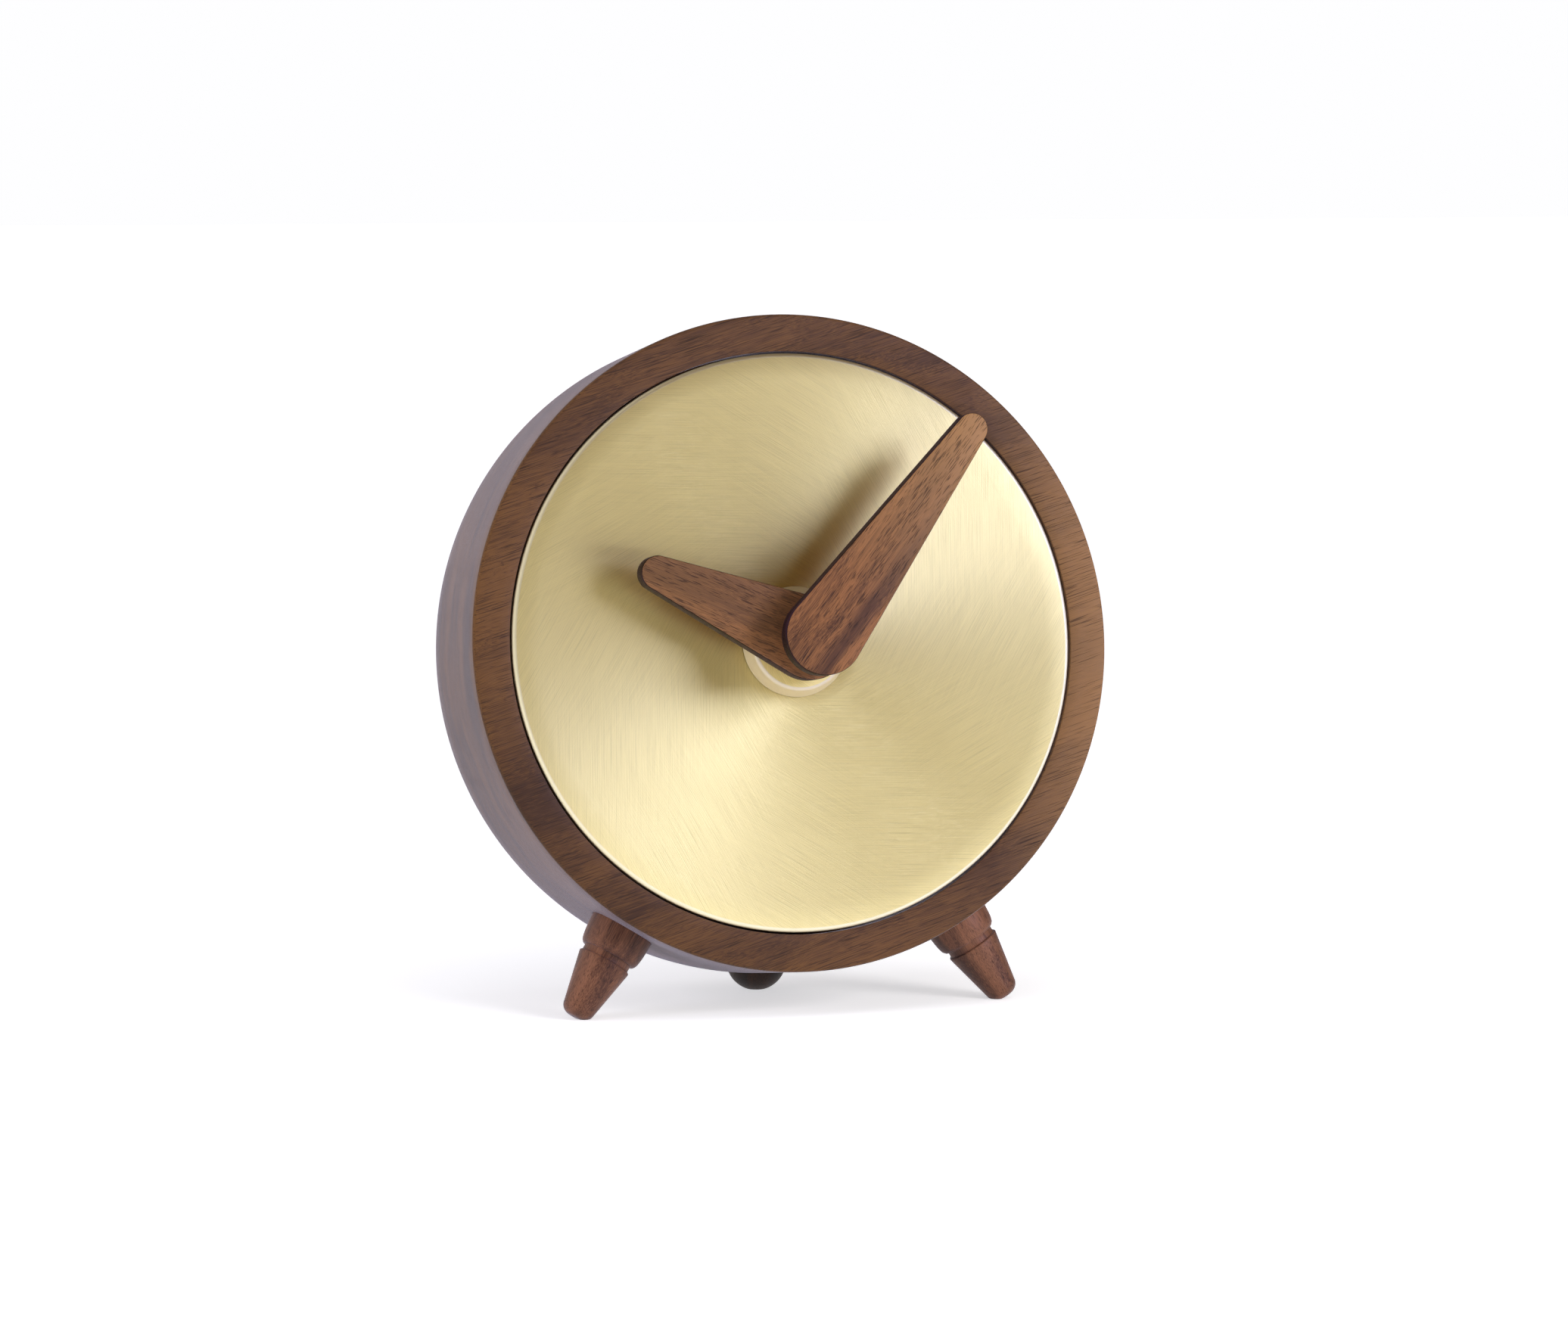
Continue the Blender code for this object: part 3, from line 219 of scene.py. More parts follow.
class FinishSettings(bpy.types.PropertyGroup):
    """Colours of the clock's finishes, before grain and light."""

    walnut_light: colour("Walnut, early wood", "Lighter bands of the walnut", "#6F4A26")
    walnut_dark: colour("Walnut, late wood", "Darker bands of the walnut", "#3F2615")
    # Painted highlight on the drum's right and the minute hand's tip, where the key lamp lights them; a
    # lighter tone on the hour hand
    walnut_pale_and_highlight: colour("Walnut, near the sapwood", "Paler wood at one side of the blank", "#A87C4E")
    walnut_pore: colour("Walnut, pores", "Open pores and short dark dashes", "#1C0F0A")
    hand_light: colour("Hand, early wood", "Lighter bands of the hands' wood", "#96633C")
    hand_dark: colour("Hand, late wood", "Darker bands of the hands' wood", "#4E301F")
    # Partly painted shade: darker and more violet than laser char alone, as the hands' walls look in shade
    charred_and_shaded: colour("Hand, cut edge", "Wood darkened by the laser that cut the hands out", "#382331")
    leg_light: colour("Leg, early wood", "Lighter bands of the legs' wood", "#8E5F47")
    leg_dark: colour("Leg, late wood", "Darker bands of the legs' wood", "#4A2C22")
    brass: colour("Brass", "Brushed and lacquered brass sheet", "#F1E09C")
    # Painted highlight: paler than the brass, so that the rounded rim mirrors a pale line
    rim: colour("Dial rim", "Lacquered rounding at the dial's edge", "#F5EBC6")
    # Painted reflection: paler than the brass, for the collar's rounded edge and side, while its top keeps
    # the brass colour
    collar: colour("Collar", "Satin brass of the collar round the dial's centre", "#DBD0BA")
    brass_turned: colour("Turned brass", "Machined brass of the bushing and its nut", "#D8B566")
    steel: colour("Steel", "Zinc-plated steel", "#C2C2BE")
    acetal: colour("Acetal", "Moulded wheels and plate", "#E9E6DC")
    abs: colour("ABS", "Moulded black housing", "#17171A")
    hardboard: colour("Hardboard", "Pressed fibre backing", "#6B4A31")
    copper: colour("Enamelled copper", "Motor winding", "#B4552B")
    board: colour("Circuit board", "Lacquered laminate", "#1E6A3C")
    sleeve: colour("Cell sleeve", "Shrunk film of the cell", "#2A2C30")
    sleeve_band: colour("Cell band", "Band at the cell's positive end", "#B98A3E")


class StageSettings(bpy.types.PropertyGroup):
    """The floor and the lamps."""

    floor: colour("Floor", "Pale floor", "#EDEDF0")
    glow: colour("Floor glow", "What the floor adds where the camera sees it", "#FBFCFF")
    backdrop: colour("Backdrop", "What the camera sees behind the clock", "#FEFEFF")
    soft: colour("Soft light", "Light that falls on the clock from all around", "#A9A7A8")
    room: colour("Room", "What the room in front of the clock looks like in mirrored light", "#6A5220")
    floor_size: length("Floor size", "Width of the floor", 12.0)
    floor_glow: strength("Floor glow strength", "How much the floor adds where the camera sees it", 0.55)
    far_glow: strength("Far floor glow", "How much the far floor adds where the camera sees it", 0.75)
    key_power: strength("Key power", "Watts of the lamp in front, to the right", 2.7)
    key_distance: length("Key distance", "From the dial to the key lamp", 0.70)
    key_size: length("Key size", "Width of the key lamp", 0.28)
    key_direction: direction("Key direction", "From the dial to the key lamp", (0.55, -0.78, 0.34))
    glint_power: strength("Glint power", "Watts of the lamp that metal mirrors in place of the key", 1.58)
    glint_distance: length("Glint distance", "From the dial to the mirrored lamp", 0.70)
    glint_size: length("Glint size", "Width of the mirrored lamp", 0.28)
    glint_direction: direction("Glint direction", "From the dial to the mirrored lamp", (0.65, -0.735, 0.34))
    fill_power: strength("Fill power", "Watts of the lamp to the left", 3.0)
    fill_distance: length("Fill distance", "From the dial to the left lamp", 0.90)
    fill_size: length("Fill size", "Width of the left lamp", 0.50)
    fill_direction: direction("Fill direction", "From the dial to the left lamp", (-0.95, -0.10, 0.35))
    top_power: strength("Top power", "Watts of the lamp above", 2.4)
    top_distance: length("Top distance", "From the dial to the lamp above", 1.00)
    top_size: length("Top size", "Width of the lamp above", 0.80)
    top_direction: direction("Top direction", "From the dial to the lamp above", (0.10, -0.15, 1.0))


class ClockSettings(bpy.types.PropertyGroup):
    """Everything that a user would change."""

    case: bpy.props.PointerProperty(type=CaseSettings, name="Case", description="The drum")
    dial: bpy.props.PointerProperty(type=DialSettings, name="Dial", description="The dial and its collar")
    hands: bpy.props.PointerProperty(type=HandSettings, name="Hands", description="The two hands")
    legs: bpy.props.PointerProperty(type=LegSettings, name="Legs", description="The legs and the foot")
    movement: bpy.props.PointerProperty(type=MovementSettings, name="Movement", description="The movement")
    finish: bpy.props.PointerProperty(type=FinishSettings, name="Finishes", description="The finishes")
    stage: bpy.props.PointerProperty(type=StageSettings, name="Stage", description="Floor and lamps")


# Mesh making

TURN_STEPS = 256
COLLAR_TURN_STEPS = 128
SMALL_TURN_STEPS = 96
ROUND_POINTS = 10
SHARP_ANGLE = math.radians(38)
# Points nearer than these are one point, in a new mesh, in a CAD mesh and on the axis of turning
MERGE_NEW, MERGE_CAD, MERGE_AXIS = 1e-7, 1e-6, 1e-9


def mesh_object(name, shape, place):
    """Turns a bmesh into an object that stands at its place."""
    mesh = bpy.data.meshes.new(name)
    shape.to_mesh(mesh)
    shape.free()
    made = bpy.data.objects.new(name, mesh)
    made.matrix_world = place
    bpy.context.scene.collection.objects.link(made)
    return made


def add_piece(name, shape, material, body, stands_for, place=HEAD):
    """Makes the bmesh an object in its frame, smooth but for its sharp edges, that rides on a body."""
    bmesh.ops.remove_doubles(shape, verts=shape.verts, dist=MERGE_NEW)
    bmesh.ops.recalc_face_normals(shape, faces=shape.faces)
    for face in shape.faces:
        face.smooth = True
    piece = mesh_object(name, shape, place)
    piece.data.set_sharp_from_angle(angle=SHARP_ANGLE)
    piece.data.materials.append(material)
    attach(piece, body)
    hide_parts(*stands_for)
    return piece


def cut(piece, *cutters):
    """Cuts closed meshes out of a piece for good, and removes them."""
    for cutter in cutters:
        step = piece.modifiers.new("Cut", "BOOLEAN")
        step.operation = "DIFFERENCE"
        step.solver = "EXACT"
        step.object = cutter
    bpy.context.view_layer.update()
    graph = bpy.context.evaluated_depsgraph_get()
    mesh = bpy.data.meshes.new_from_object(piece.evaluated_get(graph))
    piece.modifiers.clear()
    old = piece.data
    piece.data = mesh
    bpy.data.meshes.remove(old)
    mesh.name = piece.name
    mesh.set_sharp_from_angle(angle=SHARP_ANGLE)
    for cutter in cutters:
        bpy.data.objects.remove(cutter)


def cutting_rod(radius, start, end, place):
    """A round rod along its frame's Z, for cut() to use and remove."""
    shape = turned([(0.0, end), (radius, end), (radius, start), (0.0, start)], SMALL_TURN_STEPS)
    bmesh.ops.recalc_face_normals(shape, faces=shape.faces)
    return mesh_object("cutting_rod", shape, place)


def arc(centre_r, centre_z, radius_r, radius_z, start, end, count=ROUND_POINTS):
    """Points of an ellipse's arc, from start to end in degrees, both ends included."""
    for step in range(count + 1):
        turn = math.radians(start + (end - start) * step / count)
        yield centre_r + radius_r * math.cos(turn), centre_z + radius_z * math.sin(turn)


def fall(start, end, level, depth, count=ROUND_POINTS):
    """Points that leave a level without a crease and fall ever more steeply."""
    for step in range(count):
        share = step / count
        yield start + (end - start) * share, level - depth * share * share


def between(start, end, count):
    """Points inside a straight stretch, without its ends, so that long faces stay short."""
    for step in range(1, count + 1):
        share = step / (count + 1)
        yield start[0] + (end[0] - start[0]) * share, start[1] + (end[1] - start[1]) * share


def turned(profile, steps=TURN_STEPS, ring=False):
    """Turns a profile of (radius, height) points about Z, as on a lathe."""
    shape = bmesh.new()
    rows = []
    for radius, height in profile:
        if radius < MERGE_AXIS:
            rows.append([shape.verts.new((0.0, 0.0, height))] * steps)
            continue
        turns = [math.tau * i / steps for i in range(steps)]
        rows.append([shape.verts.new((radius * math.cos(a), radius * math.sin(a), height)) for a in turns])
    for upper, lower in zip(rows, rows[1:] + rows[:1] if ring else rows[1:]):
        for i in range(steps):
            j = (i + 1) % steps
            corners = []
            for vertex in (upper[i], upper[j], lower[j], lower[i]):
                if vertex not in corners:
                    corners.append(vertex)
            if len(corners) > 2:
                shape.faces.new(corners)
    return shape


def lofted(loops):
    """Joins closed loops of equally many points with faces, and closes the first and the last."""
    shape = bmesh.new()
    rows = [[shape.verts.new(point) for point in loop] for loop in loops]
    for upper, lower in zip(rows, rows[1:]):
        for i in range(len(upper)):
            j = (i + 1) % len(upper)
            shape.faces.new((upper[i], upper[j], lower[j], lower[i]))
    shape.faces.new(rows[0])
    shape.faces.new(rows[-1])
    return shape


def trimmed_at_ground(shape, place):
    """Takes off what would reach below the surface that the clock stands on."""
    to_piece = place.inverted()
    up = (to_piece.to_3x3() @ Vector((0.0, 0.0, 1.0))).normalized()
    everything = [*shape.verts, *shape.edges, *shape.faces]
    found = bmesh.ops.bisect_plane(
        shape, geom=everything, plane_co=to_piece.translation, plane_no=up, clear_inner=True
    )
    rim = [edge for edge in found["geom_cut"] if isinstance(edge, bmesh.types.BMEdge)]
    bmesh.ops.contextual_create(shape, geom=rim)
    return shape


# Materials

# Sockets of a Mix node that mixes colours
MIX_A, MIX_B, MIX_RESULT = 6, 7, 2


def node(tree, kind, inputs=(), out=0, stops=(), **options):
    """Adds one shader node with its options and a ramp's (place, linear colour) stops. inputs are its values
    and links, in the order of its sockets or by their names. Gives back one output, or all where out is None.
    """
    made = tree.nodes.new(f"ShaderNode{kind}")
    for key, value in options.items():
        setattr(made, key, value)
    for socket, value in inputs.items() if isinstance(inputs, dict) else enumerate(inputs):
        if isinstance(value, bpy.types.NodeSocket):
            tree.links.new(value, made.inputs[socket])
        else:
            made.inputs[socket].default_value = value
    if stops:
        elements = made.color_ramp.elements
        while len(elements) < len(stops):
            elements.new(0.5)
        for element, (place, shade) in zip(elements, stops):
            element.position, element.color = place, (*shade, 1.0)
    return made.outputs if out is None else made.outputs[out]


def new_material(name, values):
    """A material with a Principled shader, with its plain values set on the shader's own sockets."""
    made = bpy.data.materials.new(name)
    made.use_nodes = True
    for socket, value in values.items():
        made.node_tree.nodes["Principled BSDF"].inputs[socket].default_value = value
    return made, made.node_tree


def finished(made, colour, rough, height, strength, depth, **others):
    """Links what was drawn to a material's shader: colour, roughness, and relief of a depth in metres."""
    tree = made.node_tree
    relief = node(tree, "Bump", {"Height": height, "Strength": strength, "Distance": depth})
    for socket, value in {"Base Color": colour, "Roughness": rough, "Normal": relief, **others}.items():
        tree.links.new(value, tree.nodes["Principled BSDF"].inputs[socket])
    return made


def toned(shade, factor, lift=0.0):
    """A linear colour made darker or lighter."""
    return tuple(min(1.0, factor * value + lift) for value in shade)


def grain_places(tree, turn=(0.0, 0.0, 0.0), drop=(0.0, 0.0, 0.0)):
    """The piece's own coordinates in millimetres, turned so that X runs along the grain."""
    place = node(tree, "TexCoord", out="Object")
    scaled = node(tree, "VectorMath", (place, (1 / MILLIMETRE,) * 3), operation="MULTIPLY")
    return node(tree, "Mapping", {"Vector": scaled, "Rotation": turn, "Location": drop})


def streaks(tree, place, lengthwise, across, depthwise, detail=3.0, roughness=0.55):
    """Noise drawn out along the grain. The three numbers are features per millimetre in each direction."""
    drawn = node(tree, "VectorMath", (place, (lengthwise, across, depthwise)), operation="MULTIPLY")
    values = {"Vector": drawn, "Scale": 1.0, "Detail": detail, "Roughness": roughness}
    return node(tree, "TexNoise", values, "Fac")


# Walnut: the violet tint of its sheen, how many millimetres its growth bands wander sideways, its fibres and
# pores to the millimetre, and how far pores, growth lines and the heart darken it, from 0 to 1
SHEEN_TINT = (0.80, 0.78, 1.0, 1.0)
BAND_WANDER = 5.0
FIBRES = 10.0
PORES = 7.0
PORE_DARKNESS = 0.65
LINE_DARKNESS = 0.7
HEART_DARKNESS = 0.55
# How soft the pores' edges are, and how wide the growth lines, both as steps of the noise that draws them
PORE_EDGE = 0.08
LINE_WIDTH = 0.016


def walnut(
    name,
    shades,
    drop,
    layers,
    turn=(0.0, 0.0, 0.0),
    pore_share=0.575,
    pore_run=0.16,
    heart=0.0,
    pale_tone_and_highlight=None,
    sheen=0.0,
    shine=0.3,
):
    """Oiled, turned or planed black walnut: brown bands of early and late wood, fine fibres that catch the
    light, and open pores that show as short dark dashes along the grain and as dots on end grain.

    shades are those of early wood, late wood and pores. drop chooses the place in the log, turn lays the
    grain, and layers are the growth bands to the millimetre, across and in depth. Pores start where noise is
    over pore_share, and pore_run of them follow each other in a millimetre along the grain. heart is half the
    width of a dark streak down the middle. A paler colour is laid from a start to an end along X, with its
    colour and its share: a painted highlight where the key lamp lights the drum's right and the minute hand's
    tip, and a lighter tone on the hour hand. sheen is that of the fibres, and shine the specular level.
    """
    soft = {"Sheen Weight": sheen, "Sheen Roughness": 0.3, "Sheen Tint": SHEEN_TINT}
    made, tree = new_material(name, {"Specular IOR Level": shine, **soft})
    light, dark, pore = shades
    place = grain_places(tree, turn, drop)
    wander = streaks(tree, place, 0.03, 0.12, 0.12, 2.0)
    sideways = (0.0, BAND_WANDER, BAND_WANDER)
    bent = node(tree, "VectorMath", (wander, sideways, place), operation="MULTIPLY_ADD")
    # Growth bands with fibres in them. MapRange takes a value, the range it comes from and the one it goes to
    bands = streaks(tree, bent, 0.012, *layers, 2.5, 0.5)
    fibres = streaks(tree, bent, 0.05, FIBRES, FIBRES, 3.0, 0.65)
    figure = node(tree, "MapRange", (bands, 0.34, 0.66))
    fibre_tone = node(tree, "MapRange", (fibres, 0.3, 0.7, -0.5, 0.5))
    tone = node(tree, "Math", (figure, fibre_tone), operation="ADD", use_clamp=True)
    middle = tuple((a + b) / 2 for a, b in zip(light, dark))
    wood = node(tree, "ValToRGB", (tone,), stops=[(0.0, dark), (0.45, middle), (1.0, light)])
    # Pores are drawn a little coarser than real ones, so that they show, and crowd in some of the bands
    dashes = streaks(tree, place, pore_run, PORES, PORES, 1.0, 0.5)
    crowding = streaks(tree, bent, 0.02, 0.35, 0.35, 1.0)
    edge = node(tree, "MapRange", (crowding, 0.35, 0.65, pore_share + 0.04, pore_share - 0.03))
    above = node(tree, "Math", (dashes, edge), operation="SUBTRACT")
    pores = node(tree, "MapRange", (above, 0.0, PORE_EDGE, 0.0, PORE_DARKNESS))
    # Thin dark lines where one growth layer ends, that run long along the grain
    layer_ends = streaks(tree, bent, 0.02, 1.6, 1.6, 2.0, 0.5)
    distance = node(tree, "Math", (layer_ends, 0.5), operation="SUBTRACT")
    distance = node(tree, "Math", (distance,), operation="ABSOLUTE")
    overlays = [(node(tree, "MapRange", (distance, LINE_WIDTH, 0.0, 0.0, LINE_DARKNESS)), dark)]
    if heart:
        # A darker streak of heartwood down the middle, as on a blank sawn across the heart
        across = node(tree, "Math", (node(tree, "SeparateXYZ", (bent,), "Y"),), operation="ABSOLUTE")
        overlays.append((node(tree, "MapRange", (across, heart, 0.0, 0.0, HEART_DARKNESS)), dark))
    if pale_tone_and_highlight:
        # Painted highlight: paler colour towards the piece's +X, where the key lamp lights the drum's right
        # and the minute hand's tip. On the hour hand it is a lighter tone
        start, end, pale, most = pale_tone_and_highlight
        right = node(tree, "SeparateXYZ", (node(tree, "TexCoord", out="Object"),), "X")
        overlays.append((node(tree, "MapRange", (right, start, end, 0.0, most)), pale))
    for share, shade in (*overlays, (pores, pore)):
        mixed = {"Factor": share, MIX_A: wood, MIX_B: (*shade, 1.0)}
        wood = node(tree, "Mix", mixed, MIX_RESULT, data_type="RGBA")
    gloss = node(tree, "MapRange", (fibres, 0.0, 1.0, 0.40, 0.56))
    dull = node(tree, "Math", (pores, 0.2, gloss), operation="MULTIPLY_ADD")
    sunk = node(tree, "Math", (pores, -1.0, fibres), operation="MULTIPLY_ADD")
    return finished(made, wood, dull, sunk, 0.35, 0.00008)


# Brush strokes lie at STROKE_SLANT to the line from the centre, and light spreads at SPREAD_SLANT to it. They
# come in sets of straight strokes. SET_FALL says how soon a set gives way to the next, and SET_SHIFT, in
# millimetres, keeps one set from repeating another
STROKE_SLANT = math.radians(58)
SPREAD_SLANT = math.radians(-14)
STROKE_SETS = 6
SET_FALL = 8.0
SET_SHIFT = 7.0
# Strokes to the millimetre, along and across: 7 to 11 mm long, and coarser than real ones so that they show
FINE_STROKES = (0.14, 17.0)
COARSE_STROKES = (0.09, 8.0)
# How much darker and lighter than the brass strokes are, and over how many millimetres the rim turns pale
STROKE_SHADE, STROKE_GLINT = 0.89, 1.06
RIM_EDGE = 0.15


def brushed_brass(name, base, rim, pale_painted_highlight, anisotropy=0.82, roughness=0.44):
    """Sheet brass brushed by hand in short slanting strokes and lacquered: strokes glint and swing a bow tie
    of light round the centre. rim is the radius in millimetres where the brushing ends."""
    values = {"Metallic": 1.0, "Anisotropic": anisotropy, "Coat Weight": 0.15, "Coat Roughness": 0.5}
    made, tree = new_material(name, values)
    place = grain_places(tree)
    flat = node(tree, "VectorMath", (place, (1.0, 1.0, 0.0)), operation="MULTIPLY")
    x, y, _ = node(tree, "SeparateXYZ", (flat,), None)
    turn = node(tree, "Math", (y, x), operation="ARCTAN2")
    total, weights = 0.0, 0.0
    for number in range(STROKE_SETS):
        # Each set lies straight, and fades out where the next one takes over
        facing = math.pi * number / STROKE_SETS
        away = node(tree, "Math", (turn, facing), operation="SUBTRACT")
        near = node(tree, "Math", (away,), operation="COSINE")
        squared = node(tree, "Math", (near, near), operation="MULTIPLY")
        weight = node(tree, "Math", (squared, SET_FALL), operation="POWER")
        slant, shift = (0.0, 0.0, -(facing + STROKE_SLANT)), (0.0, 0.0, SET_SHIFT * number)
        lines = node(tree, "Mapping", {"Vector": place, "Rotation": slant, "Location": shift})
        fine = streaks(tree, lines, *FINE_STROKES, 0.0, 2.0, 0.6)
        coarse = streaks(tree, lines, *COARSE_STROKES, 0.0, 2.0, 0.6)
        stroke = node(tree, "Math", (fine, coarse), operation="ADD")
        shown = node(tree, "Math", (stroke, weight), operation="MULTIPLY")
        total = node(tree, "Math", (total, shown), operation="ADD")
        weights = node(tree, "Math", (weights, weight), operation="ADD")
    strokes = node(tree, "Math", (total, weights), operation="DIVIDE")
    tone = node(tree, "MapRange", (strokes, 0.8, 1.2))
    stops = [(0.0, toned(base, STROKE_SHADE)), (0.5, base), (1.0, toned(base, STROKE_GLINT))]
    metal = node(tree, "ValToRGB", (tone,), stops=stops)
    # Painted highlight: past rim the metal is tinted paler, so that the dial's rounded rim and the collar's
    # rounded edge and side mirror a paler light than the face
    reach = node(tree, "VectorMath", (flat,), "Value", operation="LENGTH")
    share = node(tree, "MapRange", (reach, rim, rim + RIM_EDGE))
    mixed = {"Factor": share, MIX_A: metal, MIX_B: (*pale_painted_highlight, 1.0)}
    shown = node(tree, "Mix", mixed, MIX_RESULT, data_type="RGBA")
    rough = node(tree, "MapRange", (tone, 0.0, 1.0, roughness + 0.03, roughness - 0.03))
    # With this spread the bow tie lies from lower left to upper right
    outward = node(tree, "VectorMath", (flat,), operation="NORMALIZE")
    turned_by = {"Vector": outward, "Axis": (0.0, 0.0, 1.0), "Angle": SPREAD_SLANT}
    spread = node(tree, "VectorRotate", turned_by, rotation_type="AXIS_ANGLE")
    frames = {"vector_type": "VECTOR", "convert_from": "OBJECT", "convert_to": "WORLD"}
    tangent = node(tree, "VectorTransform", (spread,), **frames)
    return finished(made, shown, rough, tone, 0.28, 0.00003, Tangent=tangent)


def turned_metal(name, base, roughness, ring_width=0.12):
    """Metal turned on a lathe or plated: fine rings round its axis and a little uneven sheen."""
    made, tree = new_material(name, {"Metallic": 1.0})
    place = grain_places(tree)
    cloud = streaks(tree, place, 0.6, 0.6, 0.6, 3.0)
    rings = streaks(tree, place, 0.3, 0.3, 1 / ring_width, 2.0)
    shade = node(tree, "ValToRGB", (cloud,), stops=[(0.3, toned(base, 0.8)), (0.7, base)])
    rough = node(tree, "MapRange", (rings, 0.0, 1.0, roughness - 0.08, roughness + 0.08))
    return finished(made, shade, rough, rings, 0.2, 0.00002)


def moulded(name, base, roughness, texture_width, relief_depth):
    """Injection-moulded plastic: a fine spark-eroded texture, and faint flow marks in its gloss."""
    made, tree = new_material(name, {"IOR": 1.50})
    place = grain_places(tree)
    pits = streaks(tree, place, 1 / texture_width, 1 / texture_width, 1 / texture_width, 2.0)
    flow = streaks(tree, place, 0.05, 0.15, 0.15, 3.0)
    shade = node(tree, "ValToRGB", (flow,), stops=[(0.35, base), (0.7, toned(base, 1.18, 0.004))])
    rough = node(tree, "MapRange", (flow, 0.0, 1.0, roughness - 0.06, roughness + 0.06))
    return finished(made, shade, rough, pits, 0.3, relief_depth)


# Share of the cell's length that its coloured band takes, and how sharp the band's end is
BAND_SHARE = 0.28
BAND_EDGE = 0.002


def cell_film(name, film, band, shoulder, whole):
    """Thin glossy film shrunk on a cell, with a plain coloured band at its positive end."""
    made, tree = new_material(name, {"Coat Weight": 0.4, "Coat Roughness": 0.12})
    place = grain_places(tree)
    along = node(tree, "SeparateXYZ", (place,), "Z")
    start = shoulder / MILLIMETRE
    share = node(tree, "MapRange", (along, start, start - whole / MILLIMETRE))
    stops = [(0.0, band), (BAND_SHARE - BAND_EDGE, band), (BAND_SHARE + BAND_EDGE, film), (1.0, film)]
    shade = node(tree, "ValToRGB", (share,), stops=stops)
    waves = streaks(tree, place, 0.25, 0.25, 0.08, 2.0)
    rough = node(tree, "MapRange", (waves, 0.0, 1.0, 0.22, 0.42))
    return finished(made, shade, rough, waves, 0.25, 0.00008)


# How far the drum's grain slants in its face, and how grain runs in the legs and the foot: along their axes
DRUM_GRAIN_SLANT = math.radians(-17)
TURNING_GRAIN = {"turn": (0.0, math.pi / 2, 0.0), "layers": (0.25, 0.45)}


def settings():
    """The clock's own settings, as the scene holds them."""
    return bpy.context.scene.table_clock


def leg_place(side):
    """The leg's own frame, whose Z runs from the dial's axis out along the leg. side is -1 or 1."""
    legs = settings().legs
    turn = Matrix.Rotation(side * legs.spread, 4, "Z") @ Matrix.Rotation(math.pi / 2, 4, "X")
    return HEAD @ Matrix.Translation((0.0, 0.0, -legs.depth)) @ turn


def foot_place():
    """The ball foot's own frame, square to the drum's shoulder."""
    case, legs = settings().case, settings().legs
    drop = case.radius - case.back_radius
    run = case.depth - case.plain_side
    share = (legs.foot_depth - case.plain_side) / run
    tilt = math.atan2(share / run, math.sqrt(1 - share**2) / drop)
    below = DIAL_CENTRE.z + legs.foot_flat - legs.foot_radius - legs.foot_depth * math.sin(LEAN)
    place = Matrix.Translation((0.0, -below / math.cos(LEAN), -legs.foot_depth))
    return HEAD @ place @ Matrix.Rotation(math.pi / 2 + tilt, 4, "X")


class CLOCK_OT_case(bpy.types.Operator):
    """Turn the walnut drum, with its bore, its open back and the sockets for the legs"""

    bl_idname = "clock.case"
    bl_label = "Drum"

    def execute(self, context):
        case, legs, finish = settings().case, settings().legs, settings().finish
        edge = case.edge_round
        back = -case.depth
        shoulder = (case.radius - case.back_radius, case.depth - case.plain_side)
        inner_edge = edge / 3
        profile = [
            *arc(case.radius - edge, -edge, edge, edge, 90, 0, 6),
            *between((case.radius, -edge), (case.radius, -case.plain_side), 7),
            *arc(case.back_radius, -case.plain_side, *shoulder, 0, -90, 36),
            (case.access_radius + case.access_chamfer, back),
            (case.access_radius, back + case.access_chamfer),
            (case.access_radius, back + case.back_wall),
            (case.bore_radius, back + case.back_wall),
            (case.bore_radius, -case.ledge),
            (case.seat_radius, -case.ledge),
            *arc(case.seat_radius + inner_edge, -inner_edge, inner_edge, inner_edge, 180, 90, 3),
            *between((case.seat_radius + inner_edge, 0.0), (case.radius - edge, 0.0), 2),
        ]
        wood = walnut(
            "walnut_turned_and_oiled",
            (finish.walnut_light, finish.walnut_dark, finish.walnut_pore),
            turn=(0.0, 0.0, DRUM_GRAIN_SLANT),
            drop=(3.0, 41.0, 12.0),
            layers=(0.05, 0.42),
            # Painted highlight on the drum's right, where the key lamp lights it
            pale_tone_and_highlight=(0.6 * case.radius, case.radius, finish.walnut_pale_and_highlight, 0.6),
            sheen=0.7,
        )
        drum = add_piece("clock_drum", turned(profile, ring=True), wood, "case", ["case_shell"])
        sockets = []
        start, end = case.radius - legs.seat - SEAT_GAP, case.radius + legs.reach
        for side in (-1, 1):
            sockets.append(cutting_rod(legs.top_radius + SEAT_GAP, start, end, leg_place(side)))
        start, end = -legs.foot_shank - SEAT_GAP, 2 * legs.foot_radius
        sockets.append(cutting_rod(legs.foot_radius + SEAT_GAP, start, end, foot_place()))
        cut(drum, *sockets)
        return {"FINISHED"}


